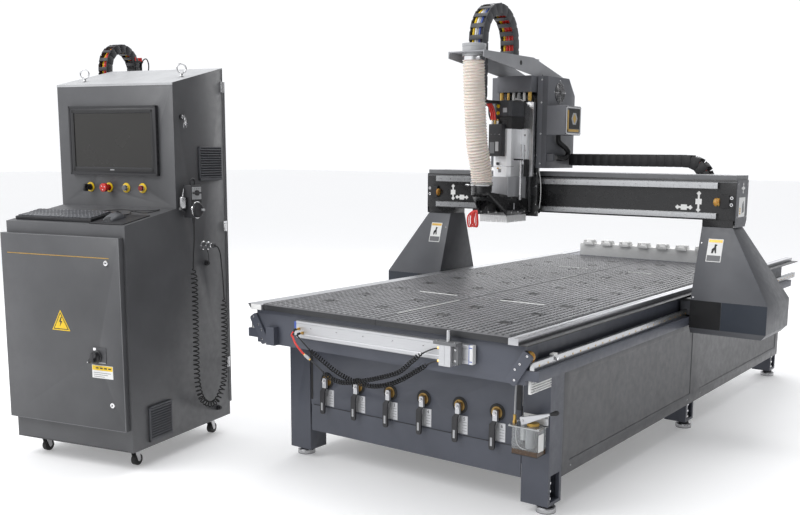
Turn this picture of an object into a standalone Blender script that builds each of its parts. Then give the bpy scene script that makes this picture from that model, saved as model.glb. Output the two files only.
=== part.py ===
"""A CNC router with a vacuum deck, a moving gantry and a separate control cabinet.

Sizes are in metres. The machine's own axes have x across the deck (0 at its middle), y towards
the back (0 at the deck's front edge) and z up from the floor. The cabinet has axes of its own,
with its front left corner at 0, and stands to the left of the machine, turned a little.
"""

import math

import bmesh
import bpy
from mathutils import Matrix, Vector

# Where the machine's and the cabinet's axes lie, so that the object's footprint is centred.
MACHINE_AT = (0.47165, -1.5933, 0.0)
CABINET_AT = (-1.28635, -2.1553, 0.0)
CABINET_TURN = math.radians(12.05)

GAP = 0.0004  # between neighbours that touch

# Machine table
DECK_HALF = 0.65
DECK_LENGTH = 2.93
DECK_TOP = 0.782
DECK_THICK = 0.030
DECK_BOTTOM = DECK_TOP - DECK_THICK
FRAME_HALF = 0.7095
LEG_WIDTH = 0.127
LEG_DEPTH = 0.114
LEG_BOTTOM = 0.042
LEG_FRONTS = (0.236, 1.815, 3.392)
SKIRT_FRONT = 0.020
SKIRT_BOTTOM = 0.595
LEDGE_TOP = 0.655
LEDGE_OUT = 0.768
LEDGE_END = 3.52
RAIL_END = 3.68
STRIP_OUT = 0.735
STRIP_END = 3.78
RAIL_X = (0.728, 0.748)
RAIL_TOP = 0.690
FOOT_X = 0.668
FOOT_RADIUS = 0.0425
VALVE_XS = (-0.469, -0.281, -0.095, 0.090, 0.279, 0.465)
VALVE_Z = 0.405
PANEL_FRONT = 0.232

# Gantry
BEAM_HALF = 0.938
BEAM_Y = (1.705, 1.880)
BEAM_Z = (1.146, 1.348)
COVER_TOP = 1.371
X_RAIL_ZS = ((1.153, 1.182), (1.303, 1.335))
X_RAIL_FRONT = 1.683
X_RAIL_ENDS = (-0.865, 0.848)
LEG_IN = 0.772

# Head, all centred on the spindle's own axis
HEAD_X = -0.278
SPINDLE_Y = 1.520
HOUSING_HALF = 0.177
CARRIAGE_HALF = 0.128
CARRIAGE_FRONT = 1.640
HOOD_PORT_Y = 1.262
HOOD_PORT_Z = 1.300
RING_Y = 1.165
RING_BOTTOM = 1.960
HOSE_RADIUS = 0.0585
CHAIN_THICK = 0.056

# Control cabinet
CAB_WIDTH = 0.696
CAB_DEPTH = 0.761
CAB_BOTTOM = 0.095
DESK_FRONT_Z = 1.136
DESK_REAR_Z = 1.195
FACE_Y = 0.364
ROOF_FRONT_Z = 1.779
ROOF_REAR_Z = 1.876
CAB_WALL = 0.006
BUTTON_Z = 1.287
CASTER_XS = (0.075, 0.621)
CASTER_YS = (0.090, 0.680)
CASTER_WHEEL_RADIUS = 0.0275
CASTER_TRAIL = 0.018

PAINTS = {
    "slate": ((0.105, 0.118, 0.145), 0.45, 0.0),
    "charcoal": ((0.110, 0.112, 0.122), 0.45, 0.0),
    "black": ((0.012, 0.012, 0.013), 0.40, 0.0),
    "steel": ((0.560, 0.570, 0.580), 0.30, 1.0),
    "aluminium": ((0.680, 0.690, 0.700), 0.35, 1.0),
    "phenolic": ((0.075, 0.080, 0.088), 0.55, 0.0),
    "hose": ((0.620, 0.540, 0.460), 0.70, 0.0),
    "brass": ((0.620, 0.430, 0.160), 0.35, 1.0),
    "red": ((0.550, 0.020, 0.018), 0.35, 0.0),
    "green_grey": ((0.250, 0.260, 0.250), 0.40, 0.0),
    "bristle": ((0.620, 0.600, 0.580), 0.80, 0.0),
    "rubber": ((0.020, 0.020, 0.021), 0.70, 0.0),
    "oil": ((0.500, 0.480, 0.420), 0.20, 0.0),
}


# ---------------------------------------------------------------- tools for making pieces


def clear_scene():
    for thing in list(bpy.data.objects):
        bpy.data.objects.remove(thing, do_unlink=True)


def new_collection(name):
    collection = bpy.data.collections.new(name)
    bpy.context.scene.collection.children.link(collection)
    return collection


def new_material(name, colour, roughness, metallic):
    made = bpy.data.materials.new(name)
    made.use_nodes = True
    shader = made.node_tree.nodes["Principled BSDF"]
    shader.inputs["Base Color"].default_value = (*colour, 1.0)
    shader.inputs["Roughness"].default_value = roughness
    shader.inputs["Metallic"].default_value = metallic
    return made


def to_mesh(bm):
    mesh = bpy.data.meshes.new("shape")
    bm.to_mesh(mesh)
    bm.free()
    return mesh


def box(x, y, z):
    """A block between the given limits."""
    low = Vector((x[0], y[0], z[0]))
    high = Vector((x[1], y[1], z[1]))
    place = Matrix.Translation((low + high) / 2) @ Matrix.Diagonal((*(high - low), 1.0))
    bm = bmesh.new()
    bmesh.ops.create_cube(bm, size=1.0, matrix=place)
    return to_mesh(bm)


def rod(start, end, radius, end_radius=None, sides=16):
    """A cylinder, or a cone, from start to end."""
    start, end = Vector(start), Vector(end)
    along = end - start
    turn = along.to_track_quat("Z", "Y").to_matrix().to_4x4()
    bm = bmesh.new()
    bmesh.ops.create_cone(
        bm,
        cap_ends=True,
        segments=sides,
        radius1=radius,
        radius2=radius if end_radius is None else end_radius,
        depth=along.length,
        matrix=Matrix.Translation((start + end) / 2) @ turn,
    )
    return to_mesh(bm)


def hull(points):
    """The convex solid around some points."""
    bm = bmesh.new()
    for point in points:
        bm.verts.new(point)
    made = bmesh.ops.convex_hull(bm, input=bm.verts)
    inside = [v for v in made["geom_interior"] if isinstance(v, bmesh.types.BMVert)]
    bmesh.ops.delete(bm, geom=inside, context="VERTS")
    return to_mesh(bm)


def rectangle(x, y, z):
    """The four corners of a level rectangle."""
    return [(px, py, z) for px in x for py in y]


def ring_points(centre, radius, sides=16):
    """Points on a level circle."""
    turns = [2 * math.pi * step / sides for step in range(sides)]
    return [
        (centre[0] + radius * math.cos(a), centre[1] + radius * math.sin(a), centre[2])
        for a in turns
    ]


SHEET_TURNS = {
    "x": Matrix(((0, 0, 1, 0), (1, 0, 0, 0), (0, 1, 0, 0), (0, 0, 0, 1))),
    "y": Matrix(((1, 0, 0, 0), (0, 0, -1, 0), (0, 1, 0, 0), (0, 0, 0, 1))),
    "z": Matrix.Identity(4),
}


def sheet(outline, axis, low, high):
    """A flat outline extruded along axis from low to high.

    The outline's numbers are (y, z) across x, (x, z) across y and (x, y) across z.
    """
    curve = bpy.data.curves.new("outline", "CURVE")
    curve.dimensions = "2D"
    curve.fill_mode = "BOTH"
    curve.extrude = (high - low) / 2
    line = curve.splines.new("POLY")
    line.points.add(len(outline) - 1)
    for point, (a, b) in zip(line.points, outline):
        point.co = (a, b, 0.0, 1.0)
    line.use_cyclic_u = True
    guide = bpy.data.objects.new("outline", curve)
    bpy.context.scene.collection.objects.link(guide)
    seen = guide.evaluated_get(bpy.context.evaluated_depsgraph_get())
    mesh = bpy.data.meshes.new_from_object(seen)
    bpy.data.objects.remove(guide)
    middle = {"x": (1, 0, 0), "y": (0, 1, 0), "z": (0, 0, 1)}[axis]
    shift = Matrix.Translation(Vector(middle) * (low + high) / 2)
    bm = bmesh.new()
    bm.from_mesh(mesh)
    bmesh.ops.remove_doubles(bm, verts=bm.verts, dist=0.00001)
    bmesh.ops.transform(bm, matrix=shift @ SHEET_TURNS[axis], verts=bm.verts)
    bmesh.ops.recalc_face_normals(bm, faces=bm.faces)
    return to_mesh(bm)


def rounded(corners, radius, steps=4):
    """An outline with each corner rounded to radius, or kept where radius is 0."""
    outline = []
    count = len(corners)
    for i, corner in enumerate(corners):
        here = Vector(corner)
        back = (Vector(corners[i - 1]) - here).normalized()
        ahead = (Vector(corners[(i + 1) % count]) - here).normalized()
        half = back.angle(ahead) / 2
        reach = radius / math.tan(half)
        start, end = here + back * reach, here + ahead * reach
        centre = here + (back + ahead).normalized() * (radius / math.sin(half))
        for step in range(steps + 1):
            spoke = (start - centre).lerp(end - centre, step / steps).normalized() * radius
            outline.append(tuple(centre + spoke))
    return outline


def band(path, thick):
    """The outline of a strip of that thickness that follows a path in a plane."""
    sides = ([], [])
    for i, point in enumerate(path):
        before = Vector(path[max(i - 1, 0)])
        after = Vector(path[min(i + 1, len(path) - 1)])
        along = (after - before).normalized()
        across = Vector((-along.y, along.x)) * thick / 2
        sides[0].append(tuple(Vector(point) + across))
        sides[1].append(tuple(Vector(point) - across))
    return sides[0] + sides[1][::-1]


def arc(centre, radius, start, end, steps):
    """Points on an arc in a plane, with its angles in degrees."""
    angles = [math.radians(start + (end - start) * i / steps) for i in range(steps + 1)]
    return [
        (centre[0] + radius * math.cos(a), centre[1] + radius * math.sin(a)) for a in angles
    ]


def smooth_route(points, count):
    """count points on a smooth curve through the given ones (each x, y, z, radius)."""
    ends = [points[0]] + list(points) + [points[-1]]
    route = []
    for step in range(count):
        place = step / (count - 1) * (len(points) - 1)
        leg = min(int(place), len(points) - 2)
        t = place - leg
        p0, p1, p2, p3 = (Vector(p) for p in ends[leg : leg + 4])
        bend = (2 * p0 - 5 * p1 + 4 * p2 - p3) * t * t + (3 * p1 - p0 - 3 * p2 + p3) * t**3
        route.append((2 * p1 + (p2 - p0) * t + bend) / 2)
    return route


def place(thing, paint, parent):
    thing.data.materials.append(bpy.data.materials[paint])
    thing.parent = parent
    PARTS.objects.link(thing)
    return thing


def part(name, mesh, paint, parent, joins=(), cuts=()):
    """One piece: a mesh, with other meshes joined to it and then others cut from it."""
    mesh.name = name
    mesh.shade_smooth()
    mesh.set_sharp_from_angle(angle=math.radians(35))
    made = place(bpy.data.objects.new(name, mesh), paint, parent)
    for work, shapes in (("UNION", joins), ("DIFFERENCE", cuts)):
        for number, shape in enumerate(shapes):
            tool = bpy.data.objects.new(f"{name}_{work.lower()}_{number}", shape)
            tool.parent = parent
            tool.hide_render = True
            tool.display_type = "WIRE"
            CUTTERS.objects.link(tool)
            modifier = made.modifiers.new(tool.name, "BOOLEAN")
            modifier.operation = work
            modifier.object = tool
    return made


def tube(name, points, count, paint, parent):
    """A cord or hose as a tube along a smooth route whose points are (x, y, z, radius)."""
    curve = bpy.data.curves.new(name, "CURVE")
    curve.dimensions = "3D"
    curve.bevel_depth = 1.0
    curve.bevel_resolution = 2
    curve.use_fill_caps = True
    line = curve.splines.new("POLY")
    route = smooth_route([Vector(p) for p in points], count)
    line.points.add(len(route) - 1)
    for point, spot in zip(line.points, route):
        point.co = (spot[0], spot[1], spot[2], 1.0)
        point.radius = spot[3]
    return place(bpy.data.objects.new(name, curve), paint, parent)


def empty(name, location, parent=None, turn=(0.0, 0.0, 0.0)):
    made = bpy.data.objects.new(name, None)
    made.location = location
    made.rotation_euler = turn
    made.parent = parent
    PARTS.objects.link(made)
    return made


# ---------------------------------------------------------------- machine table


def both_sides(x, y, z):
    """The same block on the right and on the left."""
    return [box(x, y, z), box((-x[1], -x[0]), y, z)]


def frame_legs():
    made = []
    inner = FRAME_HALF - LEG_WIDTH
    for row, front in enumerate(LEG_FRONTS):
        outer = FRAME_HALF if row == 0 else 0.701
        made += both_sides((inner, outer), (front, front + LEG_DEPTH), (LEG_BOTTOM, 0.56))
        middle = front + 0.065
        for x in (FOOT_X, -FOOT_X):
            made.append(rod((x, middle, 0.008), (x, middle, 0.060), 0.013, sides=12))
            made.append(rod((x, middle, 0.0), (x, middle, 0.018), FOOT_RADIUS, 0.036, sides=20))
    return made


def frame_hollows():
    """The insides of the legs, the windows low in them, and of the long beams and the skirt."""
    made = both_sides((0.610, 0.690), (0.252, LEDGE_END + 0.05), (0.512, 0.738))
    made.append(box((-0.697, 0.697), (0.032, 0.135), (0.55, 0.738)))
    inner = FRAME_HALF - LEG_WIDTH + 0.010
    for front in LEG_FRONTS:
        made += both_sides((inner, 0.691), (front + 0.010, front + 0.104), (0.056, 0.490))
        made += both_sides((0.66, 0.75), (front + 0.018, front + 0.096), (0.0565, 0.171))
    return made


def corner_arm(side):
    """The plate with a rounded end that carries a bumper at a front corner."""
    low, high = Vector((0.650 * side, 0.598)), Vector((0.728 * side, 0.722))
    along = (high - low).normalized()
    across = Vector((-along.y, along.x)) * 0.024
    line = [low - across, low + across, high + across, high - across]
    return sheet(rounded([tuple(p) for p in line], 0.012), "y", 0.008, 0.0205)


def make_base_frame(machine):
    top = DECK_BOTTOM - GAP
    skirt = box((-FRAME_HALF, FRAME_HALF), (SKIRT_FRONT, 0.120), (SKIRT_BOTTOM, top))
    joins = both_sides((0.600, 0.700), (0.10, LEDGE_END), (SKIRT_BOTTOM + 0.001, top))
    joins += both_sides((0.600, 0.700), (0.240, LEDGE_END), (0.50, 0.62))
    joins += both_sides((FRAME_HALF - LEG_WIDTH, FRAME_HALF), (0.236, 0.350), (0.55, 0.620))
    joins += both_sides((0.690, LEDGE_OUT), (0.020, LEDGE_END), (0.615, LEDGE_TOP))
    joins += [box((-0.61, 0.61), (y, y + 0.05), (0.67, top)) for y in (0.30, 1.02, 1.74, 2.46, 3.40)]
    joins += both_sides((0.610, 0.690), (0.26, 3.45), (0.232, 0.240))
    joins += both_sides((0.682, 0.690), (0.26, 3.45), (0.160, 0.236))
    joins += [box((-0.62, 0.62), (y, y + 0.05), (0.185, 0.235)) for y in (0.29, 1.86, 3.43)]
    joins.append(box((-0.61, 0.61), (2.932, 3.140), (0.770, DECK_TOP - GAP)))
    joins += [box((-0.61, 0.61), (y, y + 0.02), (0.73, 0.775)) for y in (2.940, 3.110)]
    joins.append(box((-0.61, 0.61), (2.910, 3.140), (0.725, top - 0.001)))
    joins += frame_legs() + [corner_arm(1), corner_arm(-1)]
    part("base_frame", skirt, "slate", machine, joins, frame_hollows())


def make_front_panel(machine):
    upper = box((-0.572, 0.579), (PANEL_FRONT, 0.240), (0.275, SKIRT_BOTTOM - GAP))
    lower = box((-0.572, 0.579), (PANEL_FRONT + 0.004, 0.2405), (0.145, 0.277))
    holes = [rod((x, 0.20, VALVE_Z), (x, 0.26, VALVE_Z), 0.036, sides=24) for x in VALVE_XS]
    part("front_panel", upper, "slate", machine, [lower], holes)


def make_side_panel(machine, name, side):
    def span(a, b):
        return (a, b) if side > 0 else (-b, -a)

    skin = box(span(0.7015, FRAME_HALF), (0.3505, 3.506), (0.143, 0.6145))
    fields = [
        box(span(FRAME_HALF - 0.003, 0.72), (0.42, 1.84), (0.20, 0.56)),
        box(span(FRAME_HALF - 0.003, 0.72), (1.98, 3.44), (0.20, 0.56)),
    ]
    part(name, skin, "slate", machine, (), fields)


def make_table(machine):
    deck = box((-DECK_HALF, DECK_HALF), (0.0, DECK_LENGTH), (DECK_BOTTOM, DECK_TOP))
    part("vacuum_deck", deck, "phenolic", machine)
    for name, side in (("right", 1), ("left", -1)):
        strip = [DECK_HALF + GAP, STRIP_OUT]
        slot = [0.672, 0.684]
        rail = list(RAIL_X)
        if side < 0:
            strip, slot, rail = ([-v for v in pair[::-1]] for pair in (strip, slot, rail))
        profile = box(strip, (-0.012, STRIP_END), (DECK_BOTTOM, 0.778))
        groove = box(slot, (-0.05, STRIP_END + 0.05), (0.764, 0.79))
        part(f"{name}_edge_strip", profile, "aluminium", machine, (), [groove])
        bar = box(rail, (0.021, RAIL_END), (LEDGE_TOP + GAP, RAIL_TOP))
        part(f"{name}_rail", bar, "steel", machine)


def make_valves(machine):
    pipe = rod((-0.535, 0.300, VALVE_Z), (0.535, 0.300, VALVE_Z), 0.028)
    bodies = []
    for x in VALVE_XS:
        bodies.append(rod((x, 0.295, VALVE_Z), (x, 0.226, VALVE_Z), 0.026, sides=20))
        bodies.append(box((x - 0.012, x + 0.012), (0.2184, 0.230), (VALVE_Z - 0.015, VALVE_Z + 0.015)))
    part("valve_manifold", pipe, "brass", machine, bodies)
    for number, x in enumerate(VALVE_XS, start=1):
        pivot = empty(f"valve_pivot_{number}", (x, 0.210, VALVE_Z), machine)
        hub = rod((0, 0.008, 0), (0, -0.008, 0), 0.014, sides=16)
        arm = [(-0.010, 0.010), (0.010, 0.010), (0.010, -0.030), (-0.012, -0.055)]
        arm += [(-0.012, -0.160), (-0.032, -0.160), (-0.032, -0.048), (-0.010, -0.022)]
        lever = sheet(arm, "y", -0.006, 0.006)
        part(f"valve_lever_{number}", hub, "black", pivot, [lever])


def make_stop_slide(machine):
    """The pneumatic stop slide on the front skirt, and its carriage with the stop pin."""
    profile = box((-0.440, 0.492), (-0.010, SKIRT_FRONT - GAP), (0.650, 0.728))
    fittings = [
        box((-0.452, -0.438), (-0.008, 0.015), (0.660, 0.722)),
        box((-0.428, -0.412), (-0.045, -0.008), (0.684, 0.700)),
        box((-0.407, -0.391), (-0.045, -0.008), (0.668, 0.684)),
    ]
    part("slide_profile", profile, "aluminium", machine, fittings)
    block = box((0.362, 0.418), (-0.056, -0.0105), (0.640, 0.726))
    top = box((0.336, 0.444), (-0.058, -0.0105), (0.724, 0.738))
    side_plate = box((0.416, 0.444), (-0.040, -0.0105), (0.648, 0.730))
    pin = rod((0.395, -0.036, 0.730), (0.395, -0.036, 0.781), 0.009, sides=16)
    part("slide_carriage", block, "aluminium", machine, [top, side_plate, pin])


CURLY_RADIUS = 0.0115
TAIL_RADIUS = 0.0030
UPPER_HOSE = [
    (-0.399, -0.0485, 0.671, TAIL_RADIUS),
    (-0.367, -0.0485, 0.647, TAIL_RADIUS),
    (-0.337, -0.0485, 0.624, TAIL_RADIUS),
    (-0.305, -0.0480, 0.605, CURLY_RADIUS),
    (-0.235, -0.0480, 0.568, CURLY_RADIUS),
    (-0.170, -0.0480, 0.537, CURLY_RADIUS),
    (-0.087, -0.0480, 0.513, CURLY_RADIUS),
    (0.018, -0.0480, 0.504, CURLY_RADIUS),
    (0.105, -0.0480, 0.523, CURLY_RADIUS),
    (0.168, -0.0480, 0.551, CURLY_RADIUS),
    (0.230, -0.0480, 0.588, CURLY_RADIUS),
    (0.283, -0.0480, 0.622, CURLY_RADIUS),
    (0.312, -0.0480, 0.640, TAIL_RADIUS),
    (0.338, -0.0480, 0.652, TAIL_RADIUS),
    (0.361, -0.0480, 0.657, TAIL_RADIUS),
]
LOWER_HOSE = [
    (-0.420, -0.0485, 0.680, TAIL_RADIUS),
    (-0.409, -0.0600, 0.664, TAIL_RADIUS),
    (-0.386, -0.0700, 0.639, TAIL_RADIUS),
    (-0.355, -0.0730, 0.613, TAIL_RADIUS),
    (-0.331, -0.0730, 0.596, TAIL_RADIUS),
    (-0.298, -0.0730, 0.577, TAIL_RADIUS),
    (-0.265, -0.0730, 0.559, TAIL_RADIUS),
    (-0.235, -0.0730, 0.540, TAIL_RADIUS),
    (-0.205, -0.0730, 0.523, CURLY_RADIUS),
    (-0.170, -0.0730, 0.510, CURLY_RADIUS),
    (-0.110, -0.0730, 0.505, CURLY_RADIUS),
    (-0.023, -0.0730, 0.523, CURLY_RADIUS),
    (0.080, -0.0730, 0.553, CURLY_RADIUS),
    (0.178, -0.0730, 0.590, CURLY_RADIUS),
    (0.236, -0.0730, 0.637, CURLY_RADIUS),
    (0.270, -0.0720, 0.666, CURLY_RADIUS),
    (0.300, -0.0660, 0.686, TAIL_RADIUS),
    (0.332, -0.0560, 0.702, TAIL_RADIUS),
    (0.361, -0.0500, 0.709, TAIL_RADIUS),
]


def make_curly_hoses(machine):
    tube("upper_curly_hose", UPPER_HOSE, 48, "rubber", machine)
    tube("lower_curly_hose", LOWER_HOSE, 48, "rubber", machine)


def make_lube_pump(machine):
    jar = box((0.580, 0.696), (0.155, 0.234), (0.268, 0.384))
    joins = [
        box((0.566, 0.706), (0.148, 0.2314), (0.382, 0.390)),
        box((0.590, 0.704), (0.228, 0.2355), (0.300, 0.425)),
        rod((0.655, 0.195, 0.388), (0.655, 0.195, 0.402), 0.024),
        rod((0.575, 0.185, 0.388), (0.575, 0.185, 0.425), 0.007, sides=12),
        box((0.615, 0.629), (0.1856, 0.2314), (0.388, 0.418)),
    ]
    part("lube_pump", jar, "oil", machine, joins)
    pivot = empty("lube_pivot", (0.622, 0.175, 0.410), machine)
    slope = math.radians(20)
    tip = Vector((math.cos(slope), 0, math.sin(slope)))
    hub = rod((0, 0.0085, 0), (0, -0.006, 0), 0.012)
    bar = rod((0, 0, 0), tip * 0.135, 0.010, 0.006, sides=12)
    knob = rod(tip * 0.130, tip * 0.165, 0.009, 0.012, sides=12)
    part("lube_lever", hub, "aluminium", pivot, [bar, knob])


def make_tool_rack(machine):
    channel = box((-0.523, 0.560), (2.961, 3.060), (DECK_TOP, 0.864))
    forks = []
    for number in range(8):
        x = -0.455 + 0.132 * number
        forks.append(box((x - 0.036, x + 0.036), (2.940, 3.010), (0.858, 0.876)))
        forks.append(rod((x, 2.972, 0.870), (x, 2.972, 0.892), 0.026, 0.022, sides=12))
    part("tool_rack", channel, "aluminium", machine, forks)


# ---------------------------------------------------------------- gantry


def make_gantry(machine):
    beam = box((-BEAM_HALF, BEAM_HALF), BEAM_Y, BEAM_Z)
    joins = [box((-0.935, 0.935), (BEAM_Y[0] + 0.004, BEAM_Y[1] + 0.010), (1.340, COVER_TOP))]
    joins += [
        box(X_RAIL_ENDS, (X_RAIL_FRONT, BEAM_Y[0] + 0.004), heights) for heights in X_RAIL_ZS
    ]
    joins += both_sides((LEG_IN, 0.930), (BEAM_Y[0], 1.860), (1.111, 1.150))
    joins.append(box((-0.060, 0.800), (1.870, 1.992), (1.195, 1.204)))
    hollow = box((-1.0, 1.0), (BEAM_Y[0] + 0.012, BEAM_Y[1] - 0.012), (1.158, 1.334))
    part("gantry_beam", beam, "black", machine, joins, [hollow])
    make_gantry_leg(machine, "right_gantry_leg", 1)
    make_gantry_leg(machine, "left_gantry_leg", -1)


def leg_shape(inset, side, top, bottom):
    """A tapering box with upright lower sides, shrunk by inset all round."""
    levels = [
        ((LEG_IN + inset, 0.930 - inset), (1.705 + inset, 1.860 - inset), top),
        ((LEG_IN + inset, 1.156 - inset), (1.595 + inset, 1.980 - inset), 0.748),
        ((LEG_IN + inset, 1.156 - inset), (1.595 + inset, 1.980 - inset), 0.605),
        ((LEG_IN + inset, 1.130 - inset), (1.615 + inset, 1.960 - inset), bottom),
    ]
    points = []
    for x, y, z in levels:
        points += rectangle([side * v for v in x], y, z)
    return hull(points)


def make_gantry_leg(machine, name, side):
    def span(a, b):
        return (a, b) if side > 0 else (-b, -a)

    shell = leg_shape(0.0, side, 1.111 - GAP, 0.575)
    trucks = [box(span(0.712, 0.790), y, (0.664, 0.735)) for y in ((1.620, 1.720), (1.855, 1.955))]
    hollow = leg_shape(0.010, side, 1.100, 0.560)
    rail_path = box(span(RAIL_X[0] - 0.0008, RAIL_X[1] + 0.0008), (1.5, 2.1), (0.60, RAIL_TOP + 0.0008))
    part(name, shell, "charcoal", machine, trucks, [hollow, rail_path])


def make_x_chain(machine):
    """The cable chain on the back of the beam, which feeds the head."""
    path = [(-0.095, 1.4335), (0.600, 1.4335)]
    path += arc((0.600, 1.3335), 0.100, 75, -90, 11)
    path += [(0.020, 1.2335)]
    part("x_cable_chain", sheet(band(path, CHAIN_THICK), "y", 1.900, 1.980), "black", machine)


# ---------------------------------------------------------------- head


def around_head(left, right):
    """Limits in x, given as distances from the spindle's axis."""
    return (HEAD_X + left, HEAD_X + right)


def make_x_carriage(machine):
    plate = box(around_head(-CARRIAGE_HALF, CARRIAGE_HALF), (CARRIAGE_FRONT, 1.660), (1.125, 1.800))
    joins = []
    for heights in ((1.139, 1.196), (1.289, 1.349)):
        joins.append(box(around_head(-0.115, -0.040), (1.655, 1.7035), heights))
        joins.append(box(around_head(0.040, 0.115), (1.655, 1.7035), heights))
    for left in (-0.082, 0.062):
        joins.append(box(around_head(left, left + 0.020), (1.6262, 1.645), (1.150, 1.780)))
    rail_paths = [
        box((-0.6, 0.1), (X_RAIL_FRONT - 0.001, 1.72), (low - 0.001, high + 0.001))
        for low, high in X_RAIL_ZS
    ]
    part("x_carriage", plate, "black", machine, joins, rail_paths)


def housing_profile(inset):
    """The housing's outline seen from the side: upright, with its top back corner cut off."""
    back = 1.967 - inset
    top = 1.890 - inset
    front = CARRIAGE_FRONT - 10 * inset
    bottom = 1.392 - 3 * inset
    return [(front, bottom), (back, bottom), (back, 1.797), (1.890, top), (front, top)]


def make_housing(machine):
    outer = around_head(-HOUSING_HALF, HOUSING_HALF)
    shell = sheet(housing_profile(0.0), "x", *outer)
    hollow = sheet(housing_profile(CAB_WALL), "x", outer[0] + CAB_WALL, outer[1] - CAB_WALL)
    housing = part("head_housing", shell, "charcoal", machine, (), [hollow])
    edge = CARRIAGE_HALF + 0.001
    joins = [
        box(around_head(edge, HOUSING_HALF), (CARRIAGE_FRONT, 1.647), (1.392, 1.890)),
        box(around_head(-HOUSING_HALF, -edge), (CARRIAGE_FRONT, 1.647), (1.392, 1.890)),
        box((outer[1] - 0.003, 0.012), (CARRIAGE_FRONT, 1.820), (1.573, 1.730)),
    ]
    cap = box(around_head(-0.108, 0.108), (1.577, 1.655), (1.803, 1.890))
    under_cap = box(around_head(-0.102, 0.102), (1.583, 1.649), (1.70, 1.884))
    add_tools(housing, "UNION", joins + [cap])
    add_tools(housing, "DIFFERENCE", [under_cap])


def add_tools(made, work, shapes):
    """More Boolean steps on a piece, after those that it was made with."""
    for number, shape in enumerate(shapes):
        tool = bpy.data.objects.new(f"{made.name}_late_{work.lower()}_{number}", shape)
        tool.parent = made.parent
        tool.hide_render = True
        tool.display_type = "WIRE"
        CUTTERS.objects.link(tool)
        modifier = made.modifiers.new(tool.name, "BOOLEAN")
        modifier.operation = work
        modifier.object = tool


def make_hose_bracket(machine):
    """The cantilever over the spindle that holds the top of the dust hose."""
    side = [(1.090, 1.946), (1.090, 1.981), (1.600, 1.985), (1.940, 1.904)]
    side += [(1.940, 1.8905), (1.600, 1.8905)]
    plate = box(around_head(-0.108, 0.108), (1.090, 1.660), (1.974, 1.980))
    joins = [
        sheet(side, "x", *around_head(0.102, 0.108)),
        sheet(side, "x", *around_head(-0.108, -0.102)),
        box(around_head(-0.108, 0.108), (1.660, 1.900), (1.8905, 1.898)),
        rod((HEAD_X, RING_Y, RING_BOTTOM), (HEAD_X, RING_Y, 2.022), 0.0605, sides=24),
    ]
    cuts = [
        rod((HEAD_X, RING_Y, 1.90), (HEAD_X, RING_Y, 2.10), 0.053, sides=24),
        box(around_head(-0.098, 0.000), (1.250, 1.317), (1.95, 2.00)),
    ]
    part("hose_bracket", plate, "charcoal", machine, joins, cuts)


def make_z_chain(machine):
    """The cable chain that arches over the bracket and follows the spindle down."""
    radius = 0.161
    front, crown = 1.2835, 2.073
    path = [(front, 1.745), (front, crown)]
    path += arc((front + radius, crown), radius, 165, 0, 11)
    path += [(front + 2 * radius, 1.981)]
    strip = sheet(band(path, CHAIN_THICK), "x", *around_head(-0.094, -0.004))
    part("z_cable_chain", strip, "black", machine)


HOSE_ROUTE = [
    (HEAD_X, RING_Y, RING_BOTTOM - 0.003, HOSE_RADIUS),
    (HEAD_X, RING_Y, 1.910, HOSE_RADIUS),
    (HEAD_X, 1.171, 1.820, HOSE_RADIUS),
    (HEAD_X - 0.004, 1.186, 1.720, HOSE_RADIUS),
    (HEAD_X - 0.006, 1.203, 1.615, HOSE_RADIUS),
    (HEAD_X - 0.004, 1.219, 1.500, HOSE_RADIUS),
    (HEAD_X, 1.2500, 1.393, HOSE_RADIUS),
    (HEAD_X, 1.2605, 1.345, HOSE_RADIUS),
    (HEAD_X, HOOD_PORT_Y, HOOD_PORT_Z + 0.0040, HOSE_RADIUS),
]


def make_z_head(machine):
    plate = box(around_head(-0.115, 0.115), (1.600, 1.6245), (1.345, 1.750))
    part("z_plate", plate, "aluminium", machine)
    body = box(around_head(-0.056, 0.056), (1.450, 1.5996), (1.290, 1.602))
    joins = [
        box(around_head(-0.058, 0.058), (1.455, 1.5996), (1.600, 1.753)),
        box(around_head(0.050, 0.091), (1.575, 1.5996), (1.410, 1.605)),
        box(around_head(-0.091, -0.050), (1.575, 1.5996), (1.410, 1.605)),
        box(around_head(-0.056, 0.030), (1.412, 1.455), (1.454, 1.627)),
        box(around_head(-0.080, -0.015), (1.312, 1.460), (1.735, 1.751)),
        rod((HEAD_X, SPINDLE_Y, 1.300), (HEAD_X, SPINDLE_Y, 1.205), 0.045, sides=24),
    ]
    bore = rod((HEAD_X, SPINDLE_Y, 1.270), (HEAD_X, SPINDLE_Y, 1.19), 0.0215, sides=24)
    part("spindle_body", body, "steel", machine, joins, [bore])
    spin = empty("spindle_axis", (HEAD_X, SPINDLE_Y, 1.200), machine)
    shaft = rod((0, 0, -0.010), (0, 0, 0.066), 0.0205, sides=20)
    collet = rod((0, 0, -0.006), (0, 0, -0.040), 0.030, 0.026, sides=20)
    cutter = rod((0, 0, -0.038), (0, 0, -0.092), 0.006, sides=12)
    part("spindle_rotor", shaft, "steel", spin, [collet, cutter])


def hood_shape(inset, bottom):
    """The hood: a chute from the round hose port down to the box round the cutter."""
    port = (HEAD_X, HOOD_PORT_Y, 1.265 + inset)
    points = ring_points(port, 0.058 - inset)
    sides = around_head(-0.090 + inset, 0.090 - inset)
    points += rectangle(sides, (1.380 + inset, 1.600 - inset), 1.165)
    points += rectangle(sides, (1.380 + inset, 1.600 - inset), bottom)
    points += rectangle(sides, (1.405, 1.600 - inset), 1.224 - inset)
    return hull(points)


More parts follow.
